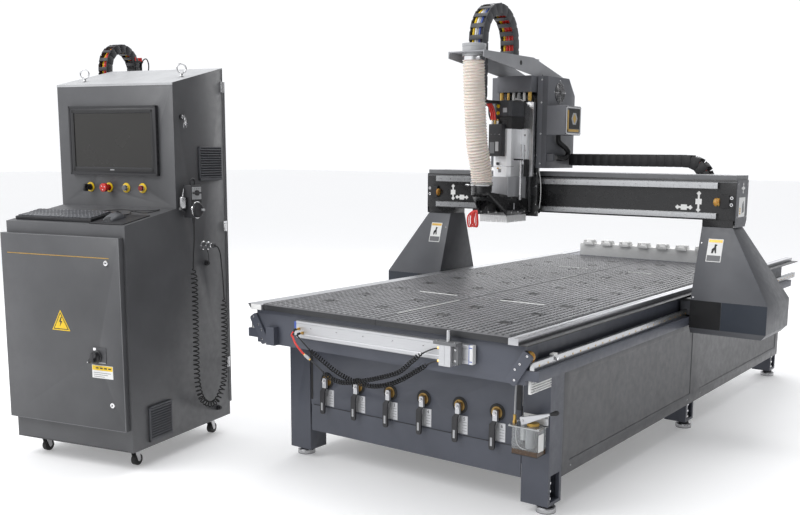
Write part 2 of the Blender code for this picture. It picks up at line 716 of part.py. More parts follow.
def make_dust_hood(machine):
    joins = [
        box(around_head(-0.078, 0.078), (1.405, 1.597), (1.215, 1.345)),
        box(around_head(-0.094, 0.094), (1.376, 1.602), (1.140, 1.166)),
        rod((HEAD_X, HOOD_PORT_Y, 1.250), (HEAD_X, HOOD_PORT_Y, HOOD_PORT_Z), 0.0555, sides=24),
    ]
    cuts = [
        hood_shape(0.005, 1.120),
        box(around_head(-0.072, 0.072), (1.411, 1.700), (1.225, 1.400)),
        box(around_head(-0.060, 0.060), (1.446, 1.584), (1.150, 1.240)),
        rod((HEAD_X, HOOD_PORT_Y, 1.240), (HEAD_X, HOOD_PORT_Y, 1.35), 0.051, sides=24),
    ]
    part("dust_hood", hood_shape(0.0, 1.141), "black", machine, joins, cuts)
    outer = box(around_head(-0.086, 0.086), (1.384, 1.596), (1.100, 1.140 - GAP))
    inner = box(around_head(-0.068, 0.068), (1.402, 1.578), (1.05, 1.20))
    part("brush_skirt", outer, "bristle", machine, (), [inner])


# ---------------------------------------------------------------- control cabinet


def cabinet_profile(inset):
    """The cabinet's outline seen from the side: a sloping desk and a tall rear part."""
    return [
        (inset, CAB_BOTTOM + inset),
        (CAB_DEPTH - inset, CAB_BOTTOM + inset),
        (CAB_DEPTH - inset, ROOF_REAR_Z - inset),
        (FACE_Y + inset, ROOF_FRONT_Z - inset),
        (FACE_Y + inset, DESK_REAR_Z - inset),
        (inset, DESK_FRONT_Z - inset),
    ]


BUTTONS = {"selector_switch": 0.185, "emergency_stop": 0.300, "start_button": 0.405, "stop_button": 0.503}


def make_cabinet_body(cabinet):
    shell = sheet(cabinet_profile(0.0), "x", 0.0, CAB_WIDTH)
    joins = [rod((0.690, 0.559, 1.0055), (0.716, 0.559, 1.0055), 0.017)]
    joins.append(rod((0.714, 0.559, 1.0055), (0.7718, 0.559, 1.0055), 0.0125))
    joins.append(box((0.690, 0.718), (0.415, 0.457), (1.236, 1.262)))
    cuts = [
        sheet(cabinet_profile(CAB_WALL), "x", CAB_WALL, CAB_WIDTH - CAB_WALL),
        box((0.030, 0.664), (-0.05, 0.05), (0.230, 1.050)),
        box((0.030, 0.666), (0.72, 0.80), (0.180, 1.790)),
    ]
    cuts += [
        rod((x, 0.34, BUTTON_Z), (x, 0.38, BUTTON_Z), 0.0145, sides=20) for x in BUTTONS.values()
    ]
    part("cabinet_body", shell, "charcoal", cabinet, joins, cuts)


def make_cabinet_doors(cabinet):
    door = box((-0.010, 0.684), (-0.030, -GAP), (0.200, 1.083))
    hollow = box((-0.006, 0.680), (-0.026, 0.02), (0.204, 1.079))
    switch_hole = rod((0.537, -0.04, 0.540), (0.537, 0.01, 0.540), 0.0125, sides=20)
    part("front_door", door, "charcoal", cabinet, (), [hollow, switch_hole])
    knob = rod((0.537, -0.0305, 0.540), (0.537, -0.050, 0.540), 0.022, sides=24)
    grip = box((0.530, 0.544), (-0.066, -0.048), (0.518, 0.562))
    stem = rod((0.537, -0.032, 0.540), (0.537, -0.006, 0.540), 0.0115, sides=16)
    part("main_switch", knob, "black", cabinet, [grip, stem])
    rear = box((0.004, 0.692), (CAB_DEPTH + GAP, 0.785), (0.160, 1.810))
    hollow = box((0.008, 0.688), (0.70, 0.781), (0.164, 1.806))
    part("rear_door", rear, "charcoal", cabinet, (), [hollow])


def make_operator_panel(cabinet):
    frame = box((0.080, 0.608), (0.346, FACE_Y - GAP), (1.347, 1.676))
    screen = box((0.112, 0.576), (0.33, 0.350), (1.385, 1.641))
    part("monitor", frame, "black", cabinet, (), [screen])
    x = BUTTONS["selector_switch"]
    switch = rod((x, 0.336, BUTTON_Z), (x, 0.372, BUTTON_Z), 0.0130, sides=20)
    handle = box((x - 0.005, x + 0.005), (0.318, 0.340), (BUTTON_Z - 0.020, BUTTON_Z + 0.012))
    part("selector_switch", switch, "black", cabinet, [handle])
    x = BUTTONS["emergency_stop"]
    head = rod((x, 0.318, BUTTON_Z), (x, 0.338, BUTTON_Z), 0.020, sides=24)
    stem = rod((x, 0.336, BUTTON_Z), (x, 0.372, BUTTON_Z), 0.011, sides=16)
    part("emergency_stop", head, "red", cabinet, [stem])
    for name, paint in (("start_button", "green_grey"), ("stop_button", "red")):
        x = BUTTONS[name]
        cap = rod((x, 0.346, BUTTON_Z), (x, 0.372, BUTTON_Z), 0.0130, sides=20)
        part(name, cap, paint, cabinet)


def make_desk_items(cabinet):
    slope = math.atan2(DESK_REAR_Z - DESK_FRONT_Z, FACE_Y)
    desk = empty("desk", (0.0, 0.0, DESK_FRONT_Z), cabinet, (slope, 0.0, 0.0))
    keyboard = box((0.030, 0.482), (0.030, 0.185), (GAP, 0.016))
    part("keyboard", keyboard, "black", desk)
    mouse = [(0.560 + dx, 0.095 + dy, GAP) for dx, dy in ((-0.026, -0.05), (0.026, -0.05))]
    mouse += [(0.560 + dx, 0.095 + dy, GAP) for dx, dy in ((-0.030, 0.05), (0.030, 0.05))]
    mouse += ring_points((0.560, 0.115, 0.034), 0.016, 8) + ring_points((0.560, 0.060, 0.020), 0.018, 8)
    pad = box((0.488, 0.676), (0.012, 0.200), (GAP, 0.004))
    part("mouse", hull(mouse), "black", desk, [pad])


PENDANT_CORD = [
    (0.7415, 0.4370, 1.1515, 0.0035),
    (0.7415, 0.4370, 1.100, 0.0035),
    (0.7410, 0.4350, 1.040, 0.0035),
    (0.7400, 0.4280, 0.966, 0.0035),
    (0.7390, 0.4250, 0.915, 0.0035),
    (0.7380, 0.4300, 0.875, 0.0165),
    (0.7380, 0.4340, 0.797, 0.0165),
    (0.7370, 0.4345, 0.670, 0.0165),
    (0.7360, 0.4340, 0.541, 0.0165),
    (0.7350, 0.4340, 0.412, 0.0165),
    (0.7340, 0.4420, 0.324, 0.0165),
    (0.7330, 0.4700, 0.250, 0.0165),
    (0.7320, 0.5280, 0.207, 0.0165),
    (0.7310, 0.5940, 0.207, 0.0165),
    (0.7310, 0.6450, 0.260, 0.0165),
    (0.7320, 0.6680, 0.336, 0.0165),
    (0.7330, 0.6720, 0.454, 0.0165),
    (0.7340, 0.6720, 0.544, 0.0165),
    (0.7350, 0.6720, 0.634, 0.0165),
    (0.7360, 0.6710, 0.696, 0.0165),
    (0.7400, 0.6680, 0.737, 0.0035),
    (0.7570, 0.6400, 0.815, 0.0035),
    (0.7720, 0.6100, 0.897, 0.0035),
    (0.7830, 0.5860, 0.961, 0.0035),
    (0.7860, 0.5680, 0.992, 0.0035),
    (0.7810, 0.5600, 1.0035, 0.0035),
    (0.7726, 0.5590, 1.0055, 0.0035),
]


def make_pendant(cabinet):
    body = box((0.7190, 0.7620), (0.393, 0.479), (1.152, 1.306))
    part("pendant", body, "black", cabinet)
    axis = empty("pendant_axis", (0.7624, 0.4315, 1.188), cabinet)
    wheel = rod((0, 0, 0), (0.014, 0, 0), 0.036, 0.034, sides=24)
    crank = rod((0.012, 0.022, 0), (0.030, 0.022, 0), 0.006, sides=10)
    part("pendant_wheel", wheel, "steel", axis, [crank])
    tube("pendant_cord", PENDANT_CORD, 76, "rubber", cabinet)


def make_caster(cabinet, number, x, y):
    swivel = empty(f"caster_swivel_{number}", (x, y, CASTER_WHEEL_RADIUS), cabinet)
    top = CAB_BOTTOM - GAP - CASTER_WHEEL_RADIUS
    plate = rod((0, 0, top - 0.010), (0, 0, top), 0.024, sides=20)
    trail = CASTER_TRAIL
    cheek = [(-0.012, top - 0.006), (0.016, top - 0.006), (trail + 0.010, 0.0)]
    cheek += [(trail + 0.004, -0.008), (trail - 0.006, -0.008), (trail - 0.012, 0.004)]
    joins = [sheet(cheek, "x", 0.0135, 0.0170), sheet(cheek, "x", -0.0170, -0.0135)]
    joins.append(rod((-0.016, trail, 0), (0.016, trail, 0), 0.0040, sides=12))
    part(f"caster_fork_{number}", plate, "steel", swivel, joins)
    tyre = rod((-0.0125, trail, 0), (0.0125, trail, 0), CASTER_WHEEL_RADIUS, sides=28)
    bore = rod((-0.02, trail, 0), (0.02, trail, 0), 0.0043, sides=12)
    part(f"caster_wheel_{number}", tyre, "rubber", swivel, (), [bore])


def make_cabinet_chain(cabinet):
    """The cable chain that arches up behind the cabinet's rear left corner."""
    thick, radius = 0.047, 0.115
    front = 0.815
    crown = 1.900
    path = [(front, 1.600), (front, crown)]
    path += arc((front + radius, crown), radius, 160, 0, 9)
    path += [(front + 2 * radius, 1.790)]
    strip = sheet(band(path, thick), "x", -0.121, -0.061)
    arm = box((-0.116, -0.010), (0.650, 0.800), (1.640, 1.648))
    foot = box((-0.014, -GAP), (0.650, 0.750), (1.610, 1.680))
    tie = box((-0.111, -0.071), (front, front + 2 * radius), (1.800, 1.812))
    part("cabinet_chain", strip, "black", cabinet, [arm, foot, tie])


# ---------------------------------------------------------------- the whole object


def make_machine():
    machine = empty("machine_axes", MACHINE_AT)
    make_base_frame(machine)
    make_front_panel(machine)
    make_side_panel(machine, "right_side_panel", 1)
    make_side_panel(machine, "left_side_panel", -1)
    make_table(machine)
    make_valves(machine)
    make_stop_slide(machine)
    make_curly_hoses(machine)
    make_lube_pump(machine)
    make_tool_rack(machine)
    make_gantry(machine)
    make_x_chain(machine)
    make_x_carriage(machine)
    make_housing(machine)
    make_hose_bracket(machine)
    make_z_chain(machine)
    tube("dust_hose", HOSE_ROUTE, 15, "hose", machine)
    make_z_head(machine)
    make_dust_hood(machine)


def make_cabinet():
    cabinet = empty("cabinet_axes", CABINET_AT, None, (0.0, 0.0, CABINET_TURN))
    make_cabinet_body(cabinet)
    make_cabinet_doors(cabinet)
    make_operator_panel(cabinet)
    make_desk_items(cabinet)
    make_pendant(cabinet)
    number = 0
    for x in CASTER_XS:
        for y in CASTER_YS:
            number += 1
            make_caster(cabinet, number, x, y)
    make_cabinet_chain(cabinet)


clear_scene()
PARTS = new_collection("cnc_router")
CUTTERS = new_collection("cutters")
for paint_name, (paint_colour, paint_roughness, paint_metallic) in PAINTS.items():
    new_material(paint_name, paint_colour, paint_roughness, paint_metallic)
make_machine()
make_cabinet()
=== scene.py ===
"""The looks of a CNC router with its vacuum deck, gantry, head and control cabinet.

Positions are given in the machine's own axes (x across the deck from its middle, y back from its
front edge, z up from the floor) or in the cabinet's (from its front left corner), as in the CAD.
"""

import math

import bmesh
import bpy
import numpy as np
from mathutils import Matrix, Vector


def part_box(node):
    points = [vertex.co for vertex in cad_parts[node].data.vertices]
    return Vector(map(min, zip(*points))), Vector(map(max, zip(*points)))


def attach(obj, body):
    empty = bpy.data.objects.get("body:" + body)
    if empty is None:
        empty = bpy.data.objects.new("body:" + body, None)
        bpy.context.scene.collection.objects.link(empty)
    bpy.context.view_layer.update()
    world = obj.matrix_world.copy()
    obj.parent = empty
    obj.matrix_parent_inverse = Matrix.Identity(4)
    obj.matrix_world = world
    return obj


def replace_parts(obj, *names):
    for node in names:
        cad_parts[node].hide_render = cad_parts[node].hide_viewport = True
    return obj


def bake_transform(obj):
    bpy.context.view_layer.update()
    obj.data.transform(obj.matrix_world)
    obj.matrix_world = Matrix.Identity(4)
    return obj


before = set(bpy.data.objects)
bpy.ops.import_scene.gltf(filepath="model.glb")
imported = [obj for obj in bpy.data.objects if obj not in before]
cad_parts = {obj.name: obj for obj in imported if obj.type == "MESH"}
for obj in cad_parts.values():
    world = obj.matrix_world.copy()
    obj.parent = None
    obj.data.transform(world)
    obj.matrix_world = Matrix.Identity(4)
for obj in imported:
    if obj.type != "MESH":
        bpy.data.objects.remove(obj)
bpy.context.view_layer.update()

DECK_LOW, DECK_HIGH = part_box("vacuum_deck")
MACHINE = Matrix.Translation(((DECK_LOW.x + DECK_HIGH.x) / 2, DECK_LOW.y, 0.0))
CABINET = Matrix.Translation((-1.28635, -2.1553, 0.0)) @ Matrix.Rotation(math.radians(12.05), 4, "Z")

# ---------------------------------------------------------------- camera


def make_camera():
    """The photograph's viewpoint, found by fitting the machine's edges."""
    turn, tilt, roll = (math.radians(a) for a in (35.1837, 9.1674, 0.5651))
    ahead = Vector((-math.sin(turn) * math.cos(tilt), math.cos(turn) * math.cos(tilt), -math.sin(tilt)))
    right = Vector((math.cos(turn), math.sin(turn), 0.0))
    above = right.cross(ahead)
    x_axis = right * math.cos(roll) + above * math.sin(roll)
    y_axis = above * math.cos(roll) - right * math.sin(roll)
    data = bpy.data.cameras.new("camera")
    data.lens, data.sensor_width = 43.115, 36.0
    data.shift_x, data.shift_y = -0.03453, 0.06485
    camera = bpy.data.objects.new("camera", data)
    camera.matrix_world = Matrix.Translation(MACHINE @ Vector((2.4517, -3.0972, 1.459))) @ Matrix(
        (
            (x_axis.x, y_axis.x, -ahead.x, 0.0),
            (x_axis.y, y_axis.y, -ahead.y, 0.0),
            (x_axis.z, y_axis.z, -ahead.z, 0.0),
            (0.0, 0.0, 0.0, 1.0),
        )
    )
    bpy.context.scene.collection.objects.link(camera)
    bpy.context.scene.camera = camera


make_camera()

# ---------------------------------------------------------------- materials


def link(tree, out_node, out_name, in_node, in_name):
    tree.links.new(out_node.outputs[out_name], in_node.inputs[in_name])


def noise(tree, coords, scale, detail=3.0, stretch=None):
    """A noise texture on the piece's own coordinates, drawn out along one axis if asked."""
    made = tree.nodes.new("ShaderNodeTexNoise")
    made.inputs["Scale"].default_value = scale
    made.inputs["Detail"].default_value = detail
    if stretch:
        mapping = tree.nodes.new("ShaderNodeMapping")
        mapping.inputs["Scale"].default_value = stretch
        link(tree, coords, "Object", mapping, "Vector")
        link(tree, mapping, "Vector", made, "Vector")
    else:
        link(tree, coords, "Object", made, "Vector")
    return made


def ranged(tree, source, low, high, start=0.3, end=0.7):
    made = tree.nodes.new("ShaderNodeMapRange")
    made.inputs["From Min"].default_value = start
    made.inputs["From Max"].default_value = end
    made.inputs["To Min"].default_value = low
    made.inputs["To Max"].default_value = high
    link(tree, source, "Fac", made, "Value")
    return made


def surface(
    name,
    colour,
    roughness,
    metallic=0.0,
    mottle=0.1,
    mottle_scale=6.0,
    rough_spread=0.06,
    grain=0.0,
    grain_scale=900.0,
    stretch=None,
    coat=0.0,
    **sockets,
):
    """A material whose colour, roughness and grain vary as the real surface does."""
    made = bpy.data.materials.new(name)
    made.use_nodes = True
    tree = made.node_tree
    shader = tree.nodes["Principled BSDF"]
    shader.inputs["Metallic"].default_value = metallic
    shader.inputs["Coat Weight"].default_value = coat
    shader.inputs["Coat Roughness"].default_value = 0.15
    for socket, value in sockets.items():
        shader.inputs[socket.replace("_", " ")].default_value = value
    coords = tree.nodes.new("ShaderNodeTexCoord")
    cloud = noise(tree, coords, mottle_scale, 4.0, stretch)
    blend = tree.nodes.new("ShaderNodeMix")
    blend.data_type = "RGBA"
    blend.inputs[6].default_value = (*(c * (1 - mottle) for c in colour), 1.0)
    blend.inputs[7].default_value = (*(min(1.0, c * (1 + mottle)) for c in colour), 1.0)
    link(tree, ranged(tree, cloud, 0.0, 1.0), "Result", blend, "Factor")
    tree.links.new(blend.outputs[2], shader.inputs["Base Color"])
    polish = noise(tree, coords, mottle_scale * 5, 3.0, stretch)
    spread = ranged(tree, polish, max(0.02, roughness - rough_spread), roughness + rough_spread)
    link(tree, spread, "Result", shader, "Roughness")
    if grain:
        fine = noise(tree, coords, grain_scale, 2.0, stretch)
        bump = tree.nodes.new("ShaderNodeBump")
        bump.inputs["Strength"].default_value = 1.0
        bump.inputs["Distance"].default_value = grain
        link(tree, fine, "Fac", bump, "Height")
        link(tree, bump, "Normal", shader, "Normal")
    return made


POWDER = {"grain": 0.0001, "grain_scale": 700.0}
FINISHES = {
    "slate": dict(colour=(0.07, 0.076, 0.097), roughness=0.42, **POWDER),
    "side": dict(colour=(0.07, 0.071, 0.076), roughness=0.42, **POWDER),
    "housing": dict(colour=(0.135, 0.139, 0.153), roughness=0.42, **POWDER),
    "charcoal": dict(colour=(0.088, 0.091, 0.101), roughness=0.42, **POWDER),
    "cabinet": dict(colour=(0.08, 0.081, 0.086), roughness=0.4, **POWDER),
    "bracket": dict(colour=(0.3, 0.304, 0.32), roughness=0.4, **POWDER),
    "chain_grey": dict(colour=(0.05, 0.051, 0.056), roughness=0.5, **POWDER),
    # A dark blue-grey used only as painted shade on the gantry legs' lower faces.
    "navy_painted_shade": dict(colour=(0.026, 0.033, 0.046), roughness=0.35, **POWDER),
    "deep_black": dict(colour=(0.006, 0.006, 0.007), roughness=0.4, grain=0.0001, grain_scale=400.0),
    "panel_grey": dict(colour=(0.15, 0.153, 0.16), roughness=0.45, **POWDER),
    "dark_plate": dict(colour=(0.045, 0.047, 0.052), roughness=0.4, **POWDER),
    "black": dict(colour=(0.01, 0.01, 0.011), roughness=0.28, coat=0.2, **POWDER),
    "soft_black": dict(colour=(0.014, 0.014, 0.015), roughness=0.55, grain=0.0002, grain_scale=500.0),
    "near_black": dict(colour=(0.022, 0.022, 0.025), roughness=0.45, grain=0.0001, grain_scale=500.0),
    "rubber": dict(colour=(0.012, 0.012, 0.012), roughness=0.6, grain=0.0003, grain_scale=300.0),
    "glossy_rubber": dict(colour=(0.01, 0.01, 0.011), roughness=0.36, Specular_IOR_Level=0.4, grain=0.0001,
                          grain_scale=300.0),
    "phenolic": dict(colour=(0.15, 0.15, 0.158), roughness=0.38, mottle=0.16, mottle_scale=9.0,
                     grain=0.0002, grain_scale=420.0),
    # A much darker copy of the phenolic board: painted shade on the deck's edges and in the grooves between
    # its tiles.
    "phenolic_painted_shade": dict(colour=(0.026, 0.027, 0.03), roughness=0.45, grain=0.0001),
    "gasket": dict(colour=(0.7, 0.7, 0.69), roughness=0.5, grain=0.0001),
    "aluminium": dict(colour=(0.47, 0.475, 0.49), roughness=0.34, metallic=1.0, mottle=0.05,
                      stretch=(60.0, 1.0, 60.0), grain=0.00003, grain_scale=20.0),
    "anodised": dict(colour=(0.56, 0.565, 0.58), roughness=0.42, metallic=0.75, mottle=0.04,
                     stretch=(1.0, 60.0, 60.0), grain=0.00003, grain_scale=20.0),
    "machined": dict(colour=(0.52, 0.525, 0.535), roughness=0.3, metallic=1.0, mottle=0.06,
                     stretch=(60.0, 60.0, 1.0), grain=0.00004, grain_scale=16.0),
    "light_alu": dict(colour=(0.93, 0.935, 0.95), roughness=0.45, metallic=0.55, mottle=0.04,
                      stretch=(60.0, 60.0, 1.0), grain=0.00003, grain_scale=16.0),
    "sleeve_alu": dict(colour=(0.52, 0.525, 0.545), roughness=0.45, metallic=0.55, mottle=0.05,
                       stretch=(60.0, 60.0, 1.0), grain=0.00003, grain_scale=16.0),
    "steel": dict(colour=(0.48, 0.48, 0.49), roughness=0.26, metallic=1.0, mottle=0.08),
    "chrome": dict(colour=(0.8, 0.8, 0.81), roughness=0.1, metallic=1.0, rough_spread=0.03),
    "dull_brass": dict(colour=(0.33, 0.215, 0.08), roughness=0.45, metallic=1.0, mottle=0.2,
                       mottle_scale=40.0),
    "brass": dict(colour=(0.66, 0.42, 0.13), roughness=0.3, metallic=1.0, mottle=0.15, mottle_scale=40.0),
    "gold": dict(colour=(0.62, 0.4, 0.1), roughness=0.35, metallic=0.6, mottle_scale=30.0),
    "amber": dict(colour=(0.48, 0.26, 0.05), roughness=0.35, mottle=0.2, mottle_scale=60.0,
                  Subsurface_Weight=0.2),
    "yellow": dict(colour=(0.78, 0.52, 0.01), roughness=0.35, mottle_scale=40.0),
    "red": dict(colour=(0.62, 0.03, 0.022), roughness=0.3, mottle_scale=40.0),
    "dark_red": dict(colour=(0.22, 0.01, 0.01), roughness=0.25, mottle_scale=40.0),
    "blue": dict(colour=(0.06, 0.11, 0.42), roughness=0.4, mottle_scale=40.0),
    "white": dict(colour=(0.78, 0.78, 0.77), roughness=0.45, mottle=0.03, mottle_scale=20.0),
    "light_grey": dict(colour=(0.42, 0.425, 0.435), roughness=0.42, **POWDER),
    "screen": dict(colour=(0.022, 0.021, 0.019), roughness=0.22, mottle=0.03, mottle_scale=2.0),
    "glass": dict(colour=(0.9, 0.92, 0.93), roughness=0.05, rough_spread=0.02, mottle=0.01,
                  Transmission_Weight=0.92, IOR=1.45),
    "oil": dict(colour=(0.06, 0.03, 0.012), roughness=0.25, mottle=0.25, mottle_scale=50.0),
    "bristle": dict(colour=(0.95, 0.94, 0.93), roughness=0.7, mottle=0.12, mottle_scale=30.0,
                    stretch=(40.0, 40.0, 1.0), grain=0.001, grain_scale=30.0),
    "hose": dict(colour=(0.76, 0.68, 0.61), roughness=0.5, mottle=0.08, mottle_scale=14.0,
                 grain=0.0004, grain_scale=120.0, Subsurface_Weight=0.15),
}
MATERIALS = {name: surface(name, **finish) for name, finish in FINISHES.items()}

# ---------------------------------------------------------------- shapes


class Piece:
    """Collects shapes, each with its own paint, and makes one object of them."""

    def __init__(self, name, body, axes=MACHINE):
        self.name, self.body, self.axes = name, body, axes
        self.bm = bmesh.new()
        self.paints = []

    def slot(self, paint):
        if paint not in self.paints:
            self.paints.append(paint)
        return self.paints.index(paint)

    def take(self, bm, paint, matrix=None):
        """Adds a finished shape."""
        if matrix is not None:
            bmesh.ops.transform(bm, matrix=matrix, verts=bm.verts)
        index = self.slot(paint)
        mesh = bpy.data.meshes.new("shape")
        for face in bm.faces:
            face.material_index = index
        bm.to_mesh(mesh)
        bm.free()
        self.bm.from_mesh(mesh)
        bpy.data.meshes.remove(mesh)
        return self

    def box(self, x, y, z, paint, round_by=0.0012, matrix=None, steps=2):
        bm = bmesh.new()
        low, high = Vector((x[0], y[0], z[0])), Vector((x[1], y[1], z[1]))
        size = high - low
        place = Matrix.Translation((low + high) / 2) @ Matrix.Diagonal((*size, 1.0))
        bmesh.ops.create_cube(bm, size=1.0, matrix=place)
        soften(bm, min(round_by, min(size) * 0.45), steps)
        return self.take(bm, paint, matrix)

    def lathe(self, start, end, profile, paint, sides=24, matrix=None):
        """Turns a profile of (radius, distance from start) round the line from start to end."""
        return self.take(turned(start, end, profile, sides), paint, matrix)

    def rod(self, start, end, radius, paint, end_radius=None, sides=24, edge=0.0008, matrix=None):
        length = (Vector(end) - Vector(start)).length
        last = radius if end_radius is None else end_radius
        edge = min(edge, radius * 0.4, last * 0.4, length * 0.4)
        profile = [(0, 0), (radius - edge, 0), (radius, edge), (last, length - edge)]
        profile += [(last - edge, length), (0, length)]
        return self.lathe(start, end, profile, paint, sides, matrix)

    def slab(self, outline, axis, low, high, paint, round_by=0.001, matrix=None, steps=2):
        """A flat outline given thickness across x, y or z."""
        bm = bmesh.new()
        spots = {
            "x": lambda a, b, d: (d, a, b),
            "y": lambda a, b, d: (a, d, b),
            "z": lambda a, b, d: (a, b, d),
        }[axis]
        rings = [[bm.verts.new(spots(a, b, d)) for a, b in outline] for d in (low, high)]
        bm.faces.new(rings[0])
        bm.faces.new(rings[1][::-1])
        count = len(outline)
        for i in range(count):
            j = (i + 1) % count
            bm.faces.new((rings[0][i], rings[1][i], rings[1][j], rings[0][j]))
        bmesh.ops.recalc_face_normals(bm, faces=bm.faces)
        if round_by:
            soften(bm, round_by, steps, 50)
        return self.take(bm, paint, matrix)

    def tube(self, points, radius, paint, sides=10, closed=False, matrix=None):
        return self.take(swept(points, radius, sides, closed), paint, matrix)

    def screw(self, at, toward, radius, paint="steel", height=0.003):
        """A domed screw head with a hexagon socket."""
        at, toward = Vector(at), Vector(toward).normalized()
        top = at + toward * height
        dome = [(0, 0), (radius, 0), (radius, height * 0.5), (radius * 0.8, height), (0, height)]
        self.lathe(at, top, dome, paint, 14)
        recess = [(0, 0), (radius * 0.42, 0), (radius * 0.42, height * 0.08), (0, height * 0.08)]
        return self.lathe(top, top + toward * height * 0.08, recess, "soft_black", 6)

    def done(self, weighted=True, angle=38, slot=None):
        bmesh.ops.transform(self.bm, matrix=self.axes, verts=self.bm.verts)
        mesh = bpy.data.meshes.new(self.name)
        self.bm.to_mesh(mesh)
        self.bm.free()
        mesh.shade_smooth()
        mesh.set_sharp_from_angle(angle=math.radians(angle))
        for paint in self.paints:
            mesh.materials.append(MATERIALS[paint])
        made = bpy.data.objects.new(self.name, mesh)
        bpy.context.scene.collection.objects.link(made)
        if weighted:
            made.modifiers.new("normals", "WEIGHTED_NORMAL").keep_sharp = True
        if self.body:
            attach(made, self.body)
        return made


def soften(bm, radius, steps, least_angle=0):
    """Rounds the edges of a shape."""
    edges = list(bm.edges)
    if least_angle:
        limit = math.radians(least_angle)
        edges = [e for e in edges if len(e.link_faces) == 2 and e.calc_face_angle(0) > limit]
    if radius > 0.00005 and edges:
        bmesh.ops.bevel(
            bm, geom=edges, offset=radius, segments=steps, profile=0.5, affect="EDGES",
            clamp_overlap=True,
        )


def turned(start, end, profile, sides):
    start, end = Vector(start), Vector(end)
    frame_turn = (end - start).to_track_quat("Z", "Y").to_matrix().to_4x4()
    bm = bmesh.new()
    rings = []
    for radius, along in profile:
        if radius < 1e-7:
            rings.append([bm.verts.new((0, 0, along))])
            continue
        angles = [2 * math.pi * i / sides for i in range(sides)]
        rings.append([bm.verts.new((radius * math.cos(a), radius * math.sin(a), along)) for a in angles])
    for low, high in zip(rings, rings[1:]):
        for i in range(sides):
            j = (i + 1) % sides
            ring = [low[i % len(low)], low[j % len(low)], high[j % len(high)], high[i % len(high)]]
            face = [v for k, v in enumerate(ring) if v not in ring[:k]]
            if len(face) > 2:
                bm.faces.new(face)
    bmesh.ops.recalc_face_normals(bm, faces=bm.faces)
    bmesh.ops.transform(bm, matrix=Matrix.Translation(start) @ frame_turn, verts=bm.verts)
    return bm


def swept(points, radius, sides, closed=False):
    """A round tube along points, with one radius or one for each point."""
    points = [Vector(p) for p in points]
    count = len(points)
    radii = radius if hasattr(radius, "__len__") else [radius] * count
    bm = bmesh.new()
    rings = []
    normal = None
    for i, point in enumerate(points):
        if closed:
            along = (points[(i + 1) % count] - points[i - 1]).normalized()
        else:
            along = (points[min(i + 1, count - 1)] - points[max(i - 1, 0)]).normalized()
        if normal is None:
            normal = along.orthogonal().normalized()
        normal = (normal - along * normal.dot(along)).normalized()
        other = along.cross(normal)
        ring = []
        for k in range(sides):
            a = 2 * math.pi * k / sides
            ring.append(bm.verts.new(point + (normal * math.cos(a) + other * math.sin(a)) * radii[i]))
        rings.append(ring)
    pairs = list(zip(rings, rings[1:])) + ([(rings[-1], rings[0])] if closed else [])
    for low, high in pairs:
        for k in range(sides):
            j = (k + 1) % sides
            bm.faces.new((low[k], low[j], high[j], high[k]))
    if not closed:
        bm.faces.new(rings[0][::-1])
        bm.faces.new(rings[-1])
    bmesh.ops.recalc_face_normals(bm, faces=bm.faces)
    return bm


def curve_point(p0, p1, p2, p3, t):
    """The point a share t of the way from p1 to p2 on a smooth curve through four points."""
    bend = (2 * p0 - 5 * p1 + 4 * p2 - p3) * t * t + (3 * p1 - p0 - 3 * p2 + p3) * t**3
    return (2 * p1 + (p2 - p0) * t + bend) / 2


def smooth_route(points, count):
    """count points on a smooth curve through the given ones."""
    ends = [points[0]] + list(points) + [points[-1]]
    route = []
    for step in range(count):
        where = step / (count - 1) * (len(points) - 1)
        leg = min(int(where), len(points) - 2)
        route.append(curve_point(*(Vector(p) for p in ends[leg : leg + 4]), where - leg))
    return route


def circle(centre, radius, axis, sides=24):
    """Points on a circle round a line through its centre."""
    turn = Vector(axis).to_track_quat("Z", "Y")
    spots = []
    for i in range(sides):
        a = 2 * math.pi * i / sides
        spots.append(Vector(centre) + turn @ Vector((math.cos(a), math.sin(a), 0)) * radius)
    return spots


def four_bars(across, up, low, high, side):
    """The spans of the bars that make a frame: bottom, top and both sides."""
    return (
        (across, (up[0], up[0] + low)), (across, (up[1] - high, up[1])),
        ((across[0], across[0] + side), up), ((across[1] - side, across[1]), up),
    )


def dress(node, paint, width=0.0016, steps=2):
    """Gives a CAD node its paint and the small round that its edges have."""
    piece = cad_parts[node]
    piece.data.materials.clear()
    piece.data.materials.append(MATERIALS[paint])
    piece.data.shade_smooth()
    weld = piece.modifiers.new("weld", "WELD")
    weld.merge_threshold = 0.00002
    flat = piece.modifiers.new("flat", "DECIMATE")
    flat.decimate_type = "DISSOLVE"
    flat.angle_limit = math.radians(1)
    if width:
        edge = piece.modifiers.new("edge", "BEVEL")
        edge.width, edge.segments = width, steps
        edge.limit_method, edge.angle_limit = "ANGLE", math.radians(40)
        edge.harden_normals = True
    return piece


# ---------------------------------------------------------------- floor and light


